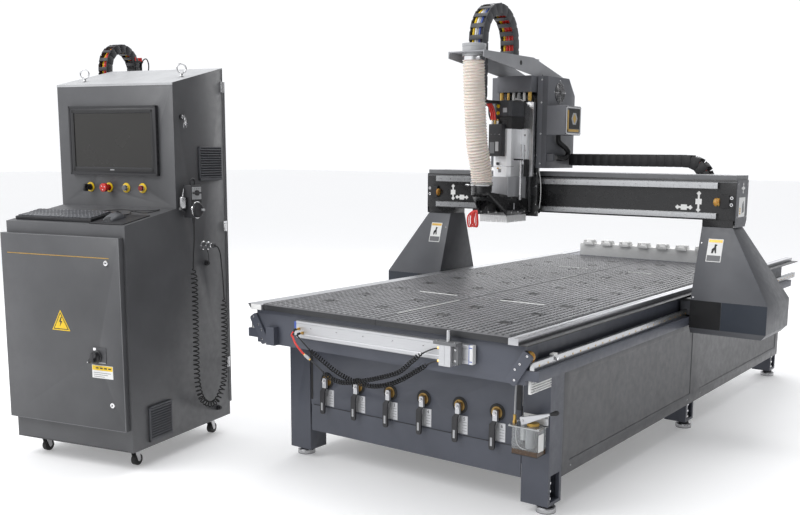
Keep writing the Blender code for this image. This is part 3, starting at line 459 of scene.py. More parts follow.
def make_stage():
    floor = bpy.data.objects.new("floor", bpy.data.meshes.new("floor"))
    bm = bmesh.new()
    bmesh.ops.create_grid(bm, x_segments=1, y_segments=1, size=60)
    bm.to_mesh(floor.data)
    bm.free()
    floor.location.z = -0.0005
    floor.data.materials.append(
        surface("floor_white", (0.86, 0.86, 0.865), 0.75, mottle=0.01, mottle_scale=0.5, rough_spread=0.05,
                Emission_Color=(1.0, 1.0, 1.0, 1.0), Emission_Strength=0.24)
    )
    bpy.context.scene.collection.objects.link(floor)
    world = bpy.data.worlds.new("studio")
    bpy.context.scene.world = world
    world.use_nodes = True
    world.node_tree.nodes["Background"].inputs["Color"].default_value = (0.97, 0.98, 1.0, 1.0)
    tree = world.node_tree
    coords = tree.nodes.new("ShaderNodeTexCoord")
    split = tree.nodes.new("ShaderNodeSeparateXYZ")
    fade = tree.nodes.new("ShaderNodeMapRange")
    fade.interpolation_type = "SMOOTHSTEP"
    for socket, value in (("From Min", -0.05), ("From Max", 0.6), ("To Min", 1.06), ("To Max", 0.25)):
        fade.inputs[socket].default_value = value
    link(tree, coords, "Generated", split, "Vector")
    link(tree, split, "X", fade, "Value")
    behind = tree.nodes.new("ShaderNodeMix")
    behind.inputs["B"].default_value = 1.06
    link(tree, tree.nodes.new("ShaderNodeLightPath"), "Is Camera Ray", behind, "Factor")
    link(tree, fade, "Result", behind, "A")
    link(tree, behind, "Result", tree.nodes["Background"], "Strength")
    lights = (
        ("key", (-2.5, -5.5, 5.5), (0.2, -0.6, 0.9), 4.0, 210.0),
        ("top", (0.5, 0.5, 6.5), (0.4, 0.0, 0.8), 5.0, 140.0),
        ("back", (-2.0, 6.0, 4.5), (0.3, 0.5, 0.8), 5.0, 110.0),
    )
    for name, spot, target, size, power in lights:
        data = bpy.data.lights.new(name, "AREA")
        data.shape, data.size, data.energy = "SQUARE", size, power
        light = bpy.data.objects.new(name, data)
        light.location = spot
        light.rotation_euler = (Vector(target) - Vector(spot)).to_track_quat("-Z", "Y").to_euler()
        bpy.context.scene.collection.objects.link(light)
    bpy.context.scene.view_settings.view_transform = "Standard"


make_stage()

# ---------------------------------------------------------------- cords


def spaced_route(route, step):
    """Points at even steps along a smooth curve through (x, y, z, half-width) points."""
    fine = []
    ends = [Vector(p) for p in [route[0]] + route + [route[-1]]]
    for four in zip(ends, ends[1:], ends[2:], ends[3:]):
        fine += [curve_point(*four, k / 60) for k in range(60)]
    fine.append(ends[-1])
    picked, waited = [fine[0]], 0.0
    for a, b in zip(fine, fine[1:]):
        waited += (b.xyz - a.xyz).length
        if waited >= step:
            picked.append(b)
            waited -= step
    if (picked[-1] - fine[-1]).xyz.length < step / 2:
        picked.pop()
    picked.append(fine[-1])
    return picked


def coil_path(route, wire, pitch):
    """The line of a curly cord: it winds where the route is wider than the cord itself."""
    centres = spaced_route(route, pitch / 14)
    thin, full = min(p[3] for p in route), max(p[3] for p in route)
    path, phase, normal = [], 0.0, None
    for i, centre in enumerate(centres):
        ahead = centres[min(i + 1, len(centres) - 1)].xyz
        back = centres[max(i - 1, 0)].xyz
        along = (ahead - back).normalized()
        normal = along.orthogonal() if normal is None else normal
        normal = (normal - along * normal.dot(along)).normalized()
        reach = max(0.0, (centre.w - thin) / (full - thin)) * (full - wire / 2 - 0.0002)
        if reach > 0:
            phase += 2 * math.pi * (ahead - centre.xyz).length / pitch
        swing = normal * math.cos(phase) + along.cross(normal) * math.sin(phase)
        path.append(centre.xyz + swing * reach)
    return path


def length_of(path):
    return sum((b - a).length for a, b in zip(path, path[1:]))


def make_cord(name, path, wire, paint, axes, body, stands_for=(), blend_to=None, sides=8, **facts):
    """A free cord as a mesh tube along its own path."""
    piece = Piece(name, None if blend_to else body, axes)
    piece.tube(path, wire / 2, paint, sides)
    made = piece.done(weighted=False, slot="cord_rubber")
    if blend_to:
        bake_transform(made)
    if stands_for:
        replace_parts(made, *stands_for)
    return made


TAIL, CURL = 0.003, 0.0115
UPPER_HOSE = [
    (-0.399, -0.0485, 0.671, TAIL), (-0.367, -0.0485, 0.647, TAIL), (-0.337, -0.0485, 0.624, TAIL),
    (-0.305, -0.048, 0.605, CURL), (-0.235, -0.048, 0.568, CURL), (-0.17, -0.048, 0.537, CURL),
    (-0.087, -0.048, 0.513, CURL), (0.018, -0.048, 0.504, CURL), (0.105, -0.048, 0.523, CURL),
    (0.168, -0.048, 0.551, CURL), (0.23, -0.048, 0.588, CURL), (0.283, -0.048, 0.622, CURL),
    (0.312, -0.048, 0.64, TAIL), (0.338, -0.048, 0.652, TAIL), (0.361, -0.048, 0.657, TAIL),
]
LOWER_HOSE = [
    (-0.42, -0.0485, 0.68, TAIL), (-0.409, -0.06, 0.664, TAIL), (-0.386, -0.07, 0.639, TAIL),
    (-0.355, -0.073, 0.613, TAIL), (-0.331, -0.073, 0.596, TAIL), (-0.298, -0.073, 0.577, TAIL),
    (-0.265, -0.073, 0.559, TAIL), (-0.235, -0.073, 0.54, TAIL), (-0.205, -0.073, 0.523, CURL),
    (-0.17, -0.073, 0.51, CURL), (-0.11, -0.073, 0.505, CURL), (-0.023, -0.073, 0.523, CURL),
    (0.08, -0.073, 0.553, CURL), (0.178, -0.073, 0.59, CURL), (0.236, -0.073, 0.637, CURL),
    (0.27, -0.072, 0.666, CURL), (0.3, -0.066, 0.686, TAIL), (0.332, -0.056, 0.702, TAIL),
    (0.361, -0.05, 0.709, TAIL),
]
CORD_THIN, CORD_CURL = 0.0035, 0.0165
PENDANT_CORD = [
    (0.7415, 0.437, 1.1515, CORD_THIN),
    (0.7415, 0.437, 1.1, CORD_THIN),
    (0.741, 0.435, 1.04, CORD_THIN),
    (0.74, 0.428, 0.966, CORD_THIN),
    (0.739, 0.425, 0.915, CORD_THIN),
    (0.738, 0.43, 0.875, CORD_CURL),
    (0.738, 0.434, 0.797, CORD_CURL),
    (0.737, 0.4345, 0.67, CORD_CURL),
    (0.736, 0.434, 0.541, CORD_CURL),
    (0.735, 0.434, 0.412, CORD_CURL),
    (0.734, 0.442, 0.324, CORD_CURL),
    (0.733, 0.47, 0.25, CORD_CURL),
    (0.732, 0.528, 0.207, CORD_CURL),
    (0.731, 0.594, 0.207, CORD_CURL),
    (0.731, 0.645, 0.26, CORD_CURL),
    (0.732, 0.668, 0.336, CORD_CURL),
    (0.733, 0.672, 0.454, CORD_CURL),
    (0.734, 0.672, 0.544, CORD_CURL),
    (0.735, 0.672, 0.634, CORD_CURL),
    (0.736, 0.671, 0.696, CORD_CURL),
    (0.74, 0.668, 0.737, CORD_THIN),
    (0.757, 0.64, 0.815, CORD_THIN),
    (0.772, 0.61, 0.897, CORD_THIN),
    (0.783, 0.586, 0.961, CORD_THIN),
    (0.786, 0.568, 0.992, CORD_THIN),
    (0.781, 0.56, 1.0035, CORD_THIN),
    (0.7726, 0.559, 1.0055, CORD_THIN),
]
HOSE_WIRE, HOSE_PITCH = 0.0058, 0.0135
PENDANT_WIRE, PENDANT_PITCH = 0.0062, 0.0225
for hose_name, hose_route in (("upper_air_hose", UPPER_HOSE), ("lower_air_hose", LOWER_HOSE)):
    make_cord(hose_name, coil_path(hose_route, HOSE_WIRE, HOSE_PITCH), HOSE_WIRE, "glossy_rubber",
        MACHINE, "machine_base", (hose_name.replace("air", "curly"),), "stop_slider", far_end="object",
        stiffness="stiff", lay="hanging")
make_cord("pendant_curly_cord", coil_path(PENDANT_CORD, PENDANT_WIRE, PENDANT_PITCH),
    PENDANT_WIRE, "rubber", CABINET, "machine_base", ("pendant_cord",), far_end="object",
    stiffness="medium", lay="hanging")

DESK_FRONT_Z, DESK_RISE, DESK_DEPTH = 1.136, 0.059, 0.364
DESK = CABINET @ Matrix.Translation((0, 0, DESK_FRONT_Z)) @ Matrix.Rotation(
    math.atan2(DESK_RISE, DESK_DEPTH), 4, "X"
)
KEYBOARD_CABLE = [(0.33, 0.183, 0.009), (0.33, 0.205, 0.008), (0.338, 0.232, 0.003), (0.362, 0.262, 0.002),
                  (0.405, 0.29, 0.002), (0.455, 0.3, 0.002), (0.505, 0.286, 0.002), (0.55, 0.264, 0.002),
                  (0.592, 0.252, 0.002), (0.622, 0.262, 0.002), (0.64, 0.29, 0.003), (0.644, 0.31, 0.003)]
MOUSE_CABLE = [(0.56, 0.145, 0.012), (0.56, 0.168, 0.009), (0.556, 0.196, 0.006), (0.545, 0.222, 0.003),
               (0.53, 0.244, 0.0055), (0.536, 0.268, 0.006), (0.566, 0.288, 0.003), (0.6, 0.3, 0.002),
               (0.626, 0.312, 0.003), (0.638, 0.322, 0.003)]
for cable_name, cable_route in (("keyboard_cable", KEYBOARD_CABLE), ("mouse_cable", MOUSE_CABLE)):
    make_cord(
        cable_name, smooth_route(cable_route, 60), 0.0034, "soft_black", DESK, "machine_base",
        far_end="object", stiffness="limp", lay="loose",
    )

# ---------------------------------------------------------------- paint on the CAD nodes

CAD_PAINTS = {
    "slate": ("base_frame", "front_panel"),
    "side": ("left_side_panel", "right_side_panel"),
    "charcoal": ("left_gantry_leg", "right_gantry_leg"),
    "housing": ("head_housing",),
    "bracket": ("hose_bracket",),
    "cabinet": ("cabinet_body", "front_door", "rear_door"),
    "black": ("gantry_beam", "x_carriage", "dust_hood"),
    "phenolic": ("vacuum_deck",),
    "white": ("tool_rack",),
    "aluminium": ("left_edge_strip", "right_edge_strip"),
    "anodised": ("slide_profile", "slide_carriage"),
    "machined": ("z_plate", "spindle_body", "left_rail", "right_rail", "spindle_rotor", "pendant_wheel"),
    "dull_brass": ("valve_manifold",),
    "near_black": (
        "x_cable_chain", "z_cable_chain", "cabinet_chain", "monitor", "keyboard", "mouse",
        "pendant", "main_switch", "selector_switch",
    ),
    "dark_plate": tuple(f"valve_lever_{n}" for n in range(1, 7)),
    "rubber": ("upper_curly_hose", "lower_curly_hose", "pendant_cord")
    + tuple(f"caster_wheel_{n}" for n in range(1, 5)),
    "steel": tuple(f"caster_fork_{n}" for n in range(1, 5)),
    "hose": ("dust_hose",),
    "bristle": ("brush_skirt",),
    "red": ("emergency_stop",),
    "dark_red": ("stop_button",),
    "panel_grey": ("start_button",),
    "glass": ("lube_pump",),
    "light_grey": ("lube_lever",),
}
for cad_paint, cad_nodes in CAD_PAINTS.items():
    for cad_node in cad_nodes:
        dress(cad_node, cad_paint)

# ---------------------------------------------------------------- vacuum deck

DECK_TOP, SLAB_TOP, DECK_BOTTOM = 0.782, 0.777, 0.7521
PANEL_YS = (0.0, 0.765, 1.49, 2.21, 2.93)
TILE_GAP, BORDER = 0.008, 0.0085
PORT_XS = (-0.47, -0.155, 0.16, 0.475)
PORT_YS = tuple(0.255 + 0.27 * k for k in range(10))
PAD_HALF, PORT_RADIUS = 0.0275, 0.0205


def raised(bm, x, y, top, foot, chamfer=0.0009):
    """A low tile with chamfered upper edges."""
    rings = []
    for inset, z in ((0.0, foot), (0.0, top - chamfer), (chamfer, top)):
        spots = ((x[0] + inset, y[0] + inset), (x[1] - inset, y[0] + inset))
        spots += ((x[1] - inset, y[1] - inset), (x[0] + inset, y[1] - inset))
        rings.append([bm.verts.new((a, b, z)) for a, b in spots])
    bm.faces.new(rings[0][::-1])
    bm.faces.new(rings[2])
    for low, high in zip(rings, rings[1:]):
        for i in range(4):
            j = (i + 1) % 4
            bm.faces.new((low[i], low[j], high[j], high[i]))


def port_pad(piece, x, y):
    """A flat square with a round vacuum port through it."""
    bm = bmesh.new()
    sides = 24
    loops = []
    for radius, z, square in (
        (PAD_HALF, SLAB_TOP - 0.001, True), (PAD_HALF, DECK_TOP - 0.0008, True),
        (PAD_HALF - 0.0008, DECK_TOP, True), (PORT_RADIUS + 0.001, DECK_TOP, False),
        (PORT_RADIUS, DECK_TOP - 0.001, False), (PORT_RADIUS, SLAB_TOP - 0.001, False),
    ):
        ring = []
        for i in range(sides):
            a = 2 * math.pi * (i + 0.5) / sides
            out = radius / max(abs(math.cos(a)), abs(math.sin(a))) if square else radius
            ring.append(bm.verts.new((x + out * math.cos(a), y + out * math.sin(a), z)))
        loops.append(ring)
    for low, high in zip(loops, loops[1:] + loops[:1]):
        for i in range(sides):
            j = (i + 1) % sides
            bm.faces.new((low[i], low[j], high[j], high[i]))
    bmesh.ops.recalc_face_normals(bm, faces=bm.faces)
    piece.take(bm, "near_black")
    # The deep black disc in the port is painted shade: it stands for the dark depth of the vacuum hole.
    plug = [(0, 0), (PORT_RADIUS - 0.0004, 0), (PORT_RADIUS - 0.0006, 0.0034), (PORT_RADIUS * 0.85, 0.004)]
    plug += [(PORT_RADIUS * 0.7, 0.003), (0, 0.003)]
    piece.lathe((x, y, SLAB_TOP - 0.0003), (x, y, SLAB_TOP + 0.01), plug, "deep_black", 20)


def make_deck_panel(name, x, y):
    piece = Piece(name, "machine_base")
    edge = 0.0006
    left, right, front, back = x[0] + edge, x[1] - edge, y[0] + edge, y[1] - edge
    # The slab under the tiles has the darker copy of the board: painted shade on the edges and in the
    # grooves.
    piece.box((left, right), (front, back), (DECK_BOTTOM, SLAB_TOP), "phenolic_painted_shade", 0.0008)
    bm = bmesh.new()
    rim = 0.0042
    for rim_x, rim_y in (
        ((left, right), (front, front + rim)), ((left, right), (back - rim, back)),
        ((left, left + rim), (front + rim, back - rim)), ((right - rim, right), (front + rim, back - rim)),
    ):
        raised(bm, rim_x, rim_y, DECK_TOP, SLAB_TOP - 0.0005)
    columns = 20
    pitch_x = (right - left - 2 * BORDER) / columns
    rows = round((back - front - 2 * BORDER) / pitch_x)
    pitch_y = (back - front - 2 * BORDER) / rows
    ports = [(px, py) for px in PORT_XS for py in PORT_YS if left < px < right and front < py < back]
    for i in range(columns):
        for j in range(rows):
            cx = left + BORDER + (i + 0.5) * pitch_x
            cy = front + BORDER + (j + 0.5) * pitch_y
            half_x, half_y = (pitch_x - TILE_GAP) / 2, (pitch_y - TILE_GAP) / 2
            near = PAD_HALF + 0.004
            if any(abs(cx - px) < near + half_x and abs(cy - py) < near + half_y for px, py in ports):
                fill_round_port(bm, cx, cy, half_x, half_y, ports)
                continue
            raised(bm, (cx - half_x, cx + half_x), (cy - half_y, cy + half_y), DECK_TOP, SLAB_TOP - 0.0005)
    piece.take(bm, "phenolic")
    for px, py in ports:
        port_pad(piece, px, py)
    return piece.done(weighted=False, slot="deck_board")


def fill_round_port(bm, cx, cy, half_x, half_y, ports):
    """The part of a tile that a port's pad leaves, where enough of it is left."""
    near = PAD_HALF + 0.003
    px, py = min(ports, key=lambda p: abs(cx - p[0]) + abs(cy - p[1]))
    x, y = [cx - half_x, cx + half_x], [cy - half_y, cy + half_y]
    clear_x = max(px - near - x[0], x[1] - px - near)
    clear_y = max(py - near - y[0], y[1] - py - near)
    if max(clear_x, clear_y) < 0.004:
        return
    if clear_x >= clear_y:
        x = [x[0], px - near] if px - near - x[0] > x[1] - px - near else [px + near, x[1]]
    else:
        y = [y[0], py - near] if py - near - y[0] > y[1] - py - near else [py + near, y[1]]
    raised(bm, x, y, DECK_TOP, SLAB_TOP - 0.0005)


deck_panels = []
for row, panel_y in enumerate(zip(PANEL_YS, PANEL_YS[1:])):
    for column, panel_x in enumerate(((-0.65, 0.0), (0.0, 0.65))):
        deck_panels.append(make_deck_panel(f"deck_panel_{row}_{column}", panel_x, panel_y))
for deck_panel in deck_panels:
    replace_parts(deck_panel, "vacuum_deck")

gaskets = Piece("deck_gaskets", "machine_base")
for gasket in (((-0.318, 0.765), (-0.095, 0.765)), ((0.15, 0.765), (0.385, 0.765)),
        ((0.0, 0.157), (0.0, 0.64)), ((0.0, 1.66), (0.0, 1.86)), ((-0.293, 2.21), (-0.095, 2.21)),
        ((0.166, 2.21), (0.317, 2.21))):
    gaskets.tube([(*spot, DECK_TOP) for spot in gasket], 0.003, "gasket", 10)
gaskets.done()

# ---------------------------------------------------------------- front of the table

slide = Piece("stop_slide_profile", "machine_base")
SLIDE_SECTION = [
    (0.0193, 0.728), (-0.006, 0.728), (-0.01, 0.7245), (-0.01, 0.7165), (-0.0082, 0.715),
    (-0.0082, 0.7115), (-0.0095, 0.71), (-0.0095, 0.6735), (-0.0082, 0.672), (-0.0082, 0.6685),
    (-0.01, 0.667), (-0.01, 0.6535), (-0.006, 0.65), (0.0193, 0.65),
]
slide.slab(SLIDE_SECTION, "x", -0.438, 0.474, "anodised", 0.0004)
slide.box((-0.452, -0.4382), (-0.008, 0.015), (0.69, 0.722), "blue", 0.0015)
slide.box((-0.452, -0.4382), (-0.008, 0.015), (0.66, 0.6895), "anodised", 0.0015)
slide.box((0.474, 0.492), (-0.01, 0.015), (0.6505, 0.7275), "white", 0.002)
slide.box((0.4735, 0.4765), (-0.0106, 0.015), (0.6498, 0.7282), "blue", 0.0006)
for lip_z in (0.66, 0.715):
    slide.box((0.477, 0.49), (-0.0112, -0.0098), (lip_z, lip_z + 0.0035), "blue", 0.0005)
for screw_x in (-0.352, -0.205, -0.058, 0.098, 0.255):
    slide.screw((screw_x, -0.0093, 0.7), (0, -1, 0), 0.0042, "steel", 0.0016)
for fit_x, fit_z in ((-0.42, 0.692), (-0.399, 0.676)):
    slide.rod((fit_x, -0.0085, fit_z), (fit_x, -0.017, fit_z), 0.0066, "brass", sides=6)
    slide.rod((fit_x, -0.016, fit_z), (fit_x, -0.03, fit_z), 0.0045, "brass")
    slide.rod((fit_x, -0.0295, fit_z), (fit_x, -0.043, fit_z), 0.0052, "soft_black")
    slide.rod((fit_x, -0.042, fit_z - 0.001), (fit_x + 0.002, -0.048, fit_z - 0.008), 0.0046, "soft_black")
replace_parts(slide.done(slot="bare_aluminium"), "slide_profile")

red_tube = Piece("slide_air_tube", "machine_base")
red_line = smooth_route(
    [(-0.42, -0.047, 0.684), (-0.423, -0.056, 0.67), (-0.409, -0.063, 0.664), (-0.386, -0.0715, 0.639),
     (-0.355, -0.0735, 0.613), (-0.333, -0.0735, 0.597)], 30)
red_tube.tube(red_line, 0.0044, "red", 14)
red_tube.rod((-0.334, -0.073, 0.5975), (-0.329, -0.073, 0.5945), 0.0054, "brass", sides=16)
red_tube.rod((-0.3295, -0.073, 0.5948), (-0.303, -0.073, 0.58), 0.0068, "light_grey", sides=18)
red_tube.rod((-0.3035, -0.073, 0.5803), (-0.298, -0.073, 0.577), 0.0054, "brass", sides=16)
red_tube.done()

carriage = Piece("stop_carriage", "stop_slider")
carriage.box((0.362, 0.418), (-0.056, -0.0108), (0.64, 0.7245), "anodised", 0.0016)
carriage.box((0.3635, 0.39), (-0.0572, -0.0555), (0.642, 0.7225), "anodised", 0.0006)
carriage.box((0.336, 0.444), (-0.058, -0.0108), (0.7245, 0.7365), "panel_grey", 0.0012)
carriage.box((0.418, 0.444), (-0.04, -0.0108), (0.648, 0.7243), "panel_grey", 0.0012)
for bolt_z in (0.664, 0.708):
    carriage.screw((0.4305, -0.0398, bolt_z), (0, -1, 0), 0.0046, "chrome", 0.0022)
for bolt_x in (0.348, 0.433):
    carriage.screw((bolt_x, -0.048, 0.7364), (0, 0, 1), 0.004, "steel", 0.002)
carriage.lathe(
    (0.395, -0.036, 0.736), (0.395, -0.036, 0.781),
    [(0, 0), (0.0125, 0), (0.0125, 0.003), (0.0088, 0.0042), (0.0088, 0.0425), (0.007, 0.045), (0, 0.045)],
    "machined", 28)
for fit_z in (0.657, 0.709):
    carriage.rod((0.3625, -0.049, fit_z), (0.3535, -0.049, fit_z), 0.0062, "brass", sides=6)
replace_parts(carriage.done(slot="bare_aluminium"), "slide_carriage")

VALVE_XS, VALVE_Z = (-0.469, -0.281, -0.095, 0.09, 0.279, 0.465), 0.405
valves = Piece("valve_trim", "machine_base")
for valve_x in VALVE_XS:
    valves.lathe(
        (valve_x, 0.233, VALVE_Z), (valve_x, 0.227, VALVE_Z),
        [(0.0215, 0), (0.0355, 0), (0.0372, 0.0015), (0.0372, 0.0028), (0.035, 0.0042), (0.025, 0.0042),
         (0.0215, 0.002), (0.0215, 0)], "rubber", 36)
    for ring_y, ring_radius in ((0.24, 0.0272), (0.249, 0.028), (0.258, 0.0272)):
        valves.tube(circle((valve_x, ring_y, VALVE_Z), ring_radius, (0, 1, 0), 30),
            0.0016, "dull_brass", 8, True)
    valves.box((valve_x - 0.0135, valve_x + 0.0135), (0.22, 0.2262), (VALVE_Z - 0.017, VALVE_Z + 0.017),
               "dull_brass", 0.002)
    valves.box((valve_x - 0.012, valve_x + 0.041), (0.2302, 0.2318), (0.282, 0.362), "anodised", 0.0005)
    for line in range(4):
        low = 0.295 + 0.0125 * line
        valves.box((valve_x + 0.014, valve_x + 0.036), (0.2296, 0.2303), (low, low + 0.0016), "panel_grey", 0)
    valves.box((valve_x - 0.009, valve_x + 0.011), (0.2296, 0.2303), (0.288, 0.332), "light_grey", 0.0002)
# Painted shade: flat dark strips stand for the shade inside the front panel's two slots.
for slot_x, slot_z in (((-0.5712, -0.559), (0.3, 0.594)), ((0.556, 0.5782), (0.43, 0.594))):
    valves.box(slot_x, (0.2309, 0.2318), slot_z, "soft_black", 0.0003)
# Painted shade along the crease that runs across the front panel.
valves.box((-0.556, 0.556), (0.231, 0.2318), (0.274, 0.2762), "soft_black", 0)
valves.done()


def make_numeral(number, x):
    """A valve's number, standing just proud of its plate."""
    text = bpy.data.curves.new(f"numeral_{number}", "FONT")
    text.body, text.size, text.extrude, text.align_x = str(number), 0.02, 0.0003, "CENTER"
    flat = bpy.data.objects.new(f"numeral_text_{number}", text)
    bpy.context.scene.collection.objects.link(flat)
    bpy.context.view_layer.update()
    mesh = bpy.data.meshes.new_from_object(flat.evaluated_get(bpy.context.evaluated_depsgraph_get()))
    bpy.data.objects.remove(flat)
    upright = MACHINE @ Matrix.Translation((x, 0.2299, 0.342)) @ Matrix.Rotation(math.radians(90), 4, "X")
    mesh.transform(upright)
    mesh.name = f"valve_numeral_{number}"
    mesh.materials.clear()
    mesh.materials.append(MATERIALS["soft_black"])
    made = bpy.data.objects.new(f"valve_numeral_{number}", mesh)
    bpy.context.scene.collection.objects.link(made)
    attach(made, "machine_base")


for number, valve_x in enumerate(VALVE_XS, start=1):
    make_numeral(number, valve_x + 0.024)
    lever = Piece(f"lever_{number}", f"zone_lever_{number}")
    grip = [(-0.025, 0.346), (-0.024, 0.356), (-0.009, 0.372), (-0.007, 0.39), (0.013, 0.39),
            (0.013, 0.376), (0.003, 0.354), (0.003, 0.257), (0.0005, 0.249), (-0.005, 0.245),
            (-0.0175, 0.245), (-0.023, 0.249), (-0.025, 0.257)]
    lever.slab([(valve_x + x, z) for x, z in grip], "y", 0.2046, 0.2154, "near_black", 0.0026, steps=3)
    plate = [(-0.006, 0.374), (-0.006, 0.416), (-0.002, 0.421), (0.012, 0.421), (0.016, 0.416),
             (0.016, 0.374)]
    lever.slab([(valve_x + x, z) for x, z in plate], "y", 0.2015, 0.2156, "anodised", 0.0012)
    lever.rod((valve_x + 0.004, 0.202, VALVE_Z), (valve_x + 0.004, 0.1965, VALVE_Z),
        0.0082, "chrome", sides=6)
    lever.rod((valve_x + 0.004, 0.197, VALVE_Z), (valve_x + 0.004, 0.1945, VALVE_Z),
        0.0042, "steel", sides=14)
    lever.box((valve_x - 0.017, valve_x - 0.007), (0.204, 0.2048), (0.264, 0.3), "light_grey", 0.0002)
    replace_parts(lever.done(slot="black_coat"), f"valve_lever_{number}")

# ---------------------------------------------------------------- lubrication pump

pump = Piece("lubricator", "machine_base")
JAR_X, JAR_Y = (0.58, 0.696), (0.155, 0.231)
for wall_x, wall_y in (
    (JAR_X, (JAR_Y[0], JAR_Y[0] + 0.0025)), (JAR_X, (JAR_Y[1] - 0.0025, JAR_Y[1])),
    ((JAR_X[0], JAR_X[0] + 0.0025), (JAR_Y[0] + 0.0026, JAR_Y[1] - 0.0026)),
    ((JAR_X[1] - 0.0025, JAR_X[1]), (JAR_Y[0] + 0.0026, JAR_Y[1] - 0.0026)),
):
    pump.box(wall_x, wall_y, (0.2925, 0.3822), "glass", 0.0005)
pump.box((0.58, 0.696), (0.155, 0.231), (0.27, 0.292), "oil", 0.003, steps=3)
pump.box((0.5795, 0.6965), (0.1545, 0.2315), (0.268, 0.2735), "soft_black", 0.0025)
pump.rod((0.609, 0.197, 0.322), (0.609, 0.197, 0.3815), 0.0115, "white", sides=24)
pump.rod((0.609, 0.197, 0.306), (0.609, 0.197, 0.323), 0.0085, "soft_black", sides=20)
pump.rod((0.645, 0.19, 0.296), (0.645, 0.19, 0.3815), 0.019, "light_grey", sides=30)
pump.tube(
    smooth_route([(0.588, 0.176, 0.3815), (0.589, 0.173, 0.345), (0.599, 0.17, 0.308),
                  (0.622, 0.169, 0.2935), (0.65, 0.169, 0.29)], 26), 0.0022, "gasket", 8)
pump.box((0.566, 0.706), (0.148, 0.2314), (0.3822, 0.3892), "glass", 0.0015)
pump.box((0.5665, 0.7055), (0.1485, 0.1505), (0.3835, 0.388), "white", 0.0005)
pump.box((0.59, 0.704), (0.2316, 0.234), (0.385, 0.425), "white", 0.001)
pump.box((0.6965, 0.698), (0.164, 0.208), (0.29, 0.362), "white", 0.0004)
pump.box((0.688, 0.705), (0.218, 0.2314), (0.39, 0.42), "anodised", 0.0015)
pump.box((0.615, 0.629), (0.19, 0.2314), (0.389, 0.418), "white", 0.002)
pump.lathe((0.655, 0.195, 0.389), (0.655, 0.195, 0.402),
           [(0, 0), (0.024, 0), (0.0245, 0.002), (0.023, 0.011), (0.0205, 0.0125), (0, 0.0125)],
           "gold", 40)
for rib in range(20):
    angle = 2 * math.pi * rib / 20
    rib_at = Vector((0.655 + 0.024 * math.cos(angle), 0.195 + 0.024 * math.sin(angle), 0.3905))
    pump.rod(rib_at, rib_at + Vector((0, 0, 0.0085)), 0.0016, "gold", sides=8)
pump.rod((0.575, 0.185, 0.3885), (0.575, 0.185, 0.402), 0.009, "brass", sides=6)
pump.rod((0.575, 0.185, 0.401), (0.575, 0.185, 0.425), 0.0065, "gold", sides=20)
for post_x, post_y in ((0.571, 0.153), (0.571, 0.225), (0.701, 0.153)):
    pump.screw((post_x, post_y, 0.389), (0, 0, 1), 0.004, "chrome", 0.0035)
pump.tube(
    smooth_route([(0.575, 0.185, 0.424), (0.5745, 0.186, 0.46), (0.57, 0.196, 0.51),
                  (0.566, 0.21, 0.56), (0.5655, 0.222, 0.6)], 26), 0.004, "light_grey", 12)
pump.screw((0.5745, 0.231, 0.572), (0, -1, 0), 0.0065, "brass", 0.004)
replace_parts(pump.done(slot="oil_jar"), "lube_pump")

handle = Piece("lubricator_handle", "lube_handle")
HANDLE_AT = Vector((0.622, 0.175, 0.41))
tip = Vector((math.cos(math.radians(20)), 0, math.sin(math.radians(20))))
side = Vector((-tip.z, 0, tip.x))
wedge = [HANDLE_AT - tip * 0.012 - side * 0.018, HANDLE_AT + tip * 0.03 - side * 0.014,
         HANDLE_AT + tip * 0.128 - side * 0.004, HANDLE_AT + tip * 0.128 + side * 0.004,
         HANDLE_AT + tip * 0.02 + side * 0.013, HANDLE_AT - tip * 0.01 + side * 0.016]
handle.slab([(p.x, p.z) for p in wedge], "y", 0.1668, 0.1696, "anodised", 0.0008)
handle.slab([(p.x, p.z) for p in wedge], "y", 0.1795, 0.1823, "anodised", 0.0008)
handle.box((0.61, 0.64), (0.1696, 0.1795), (0.418, 0.425), "anodised", 0.001)
shift = Vector((0, -0.0005, 0))
handle.rod(HANDLE_AT + tip * 0.03 + shift, HANDLE_AT + tip * 0.132 + shift, 0.0062, "light_grey", 0.0046,
           sides=16)
handle.rod(HANDLE_AT + tip * 0.128, HANDLE_AT + tip * 0.152, 0.0062, "soft_black", 0.0105, sides=18)
handle.rod(HANDLE_AT + tip * 0.15, HANDLE_AT + tip * 0.165, 0.0108, "soft_black", 0.009, sides=18, edge=0.003)
handle.rod(HANDLE_AT + Vector((0, -0.0105, 0)), HANDLE_AT + Vector((0, 0.0085, 0)), 0.0052, "steel", sides=16)
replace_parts(handle.done(slot="bare_aluminium"), "lube_lever")

# ---------------------------------------------------------------- frame details

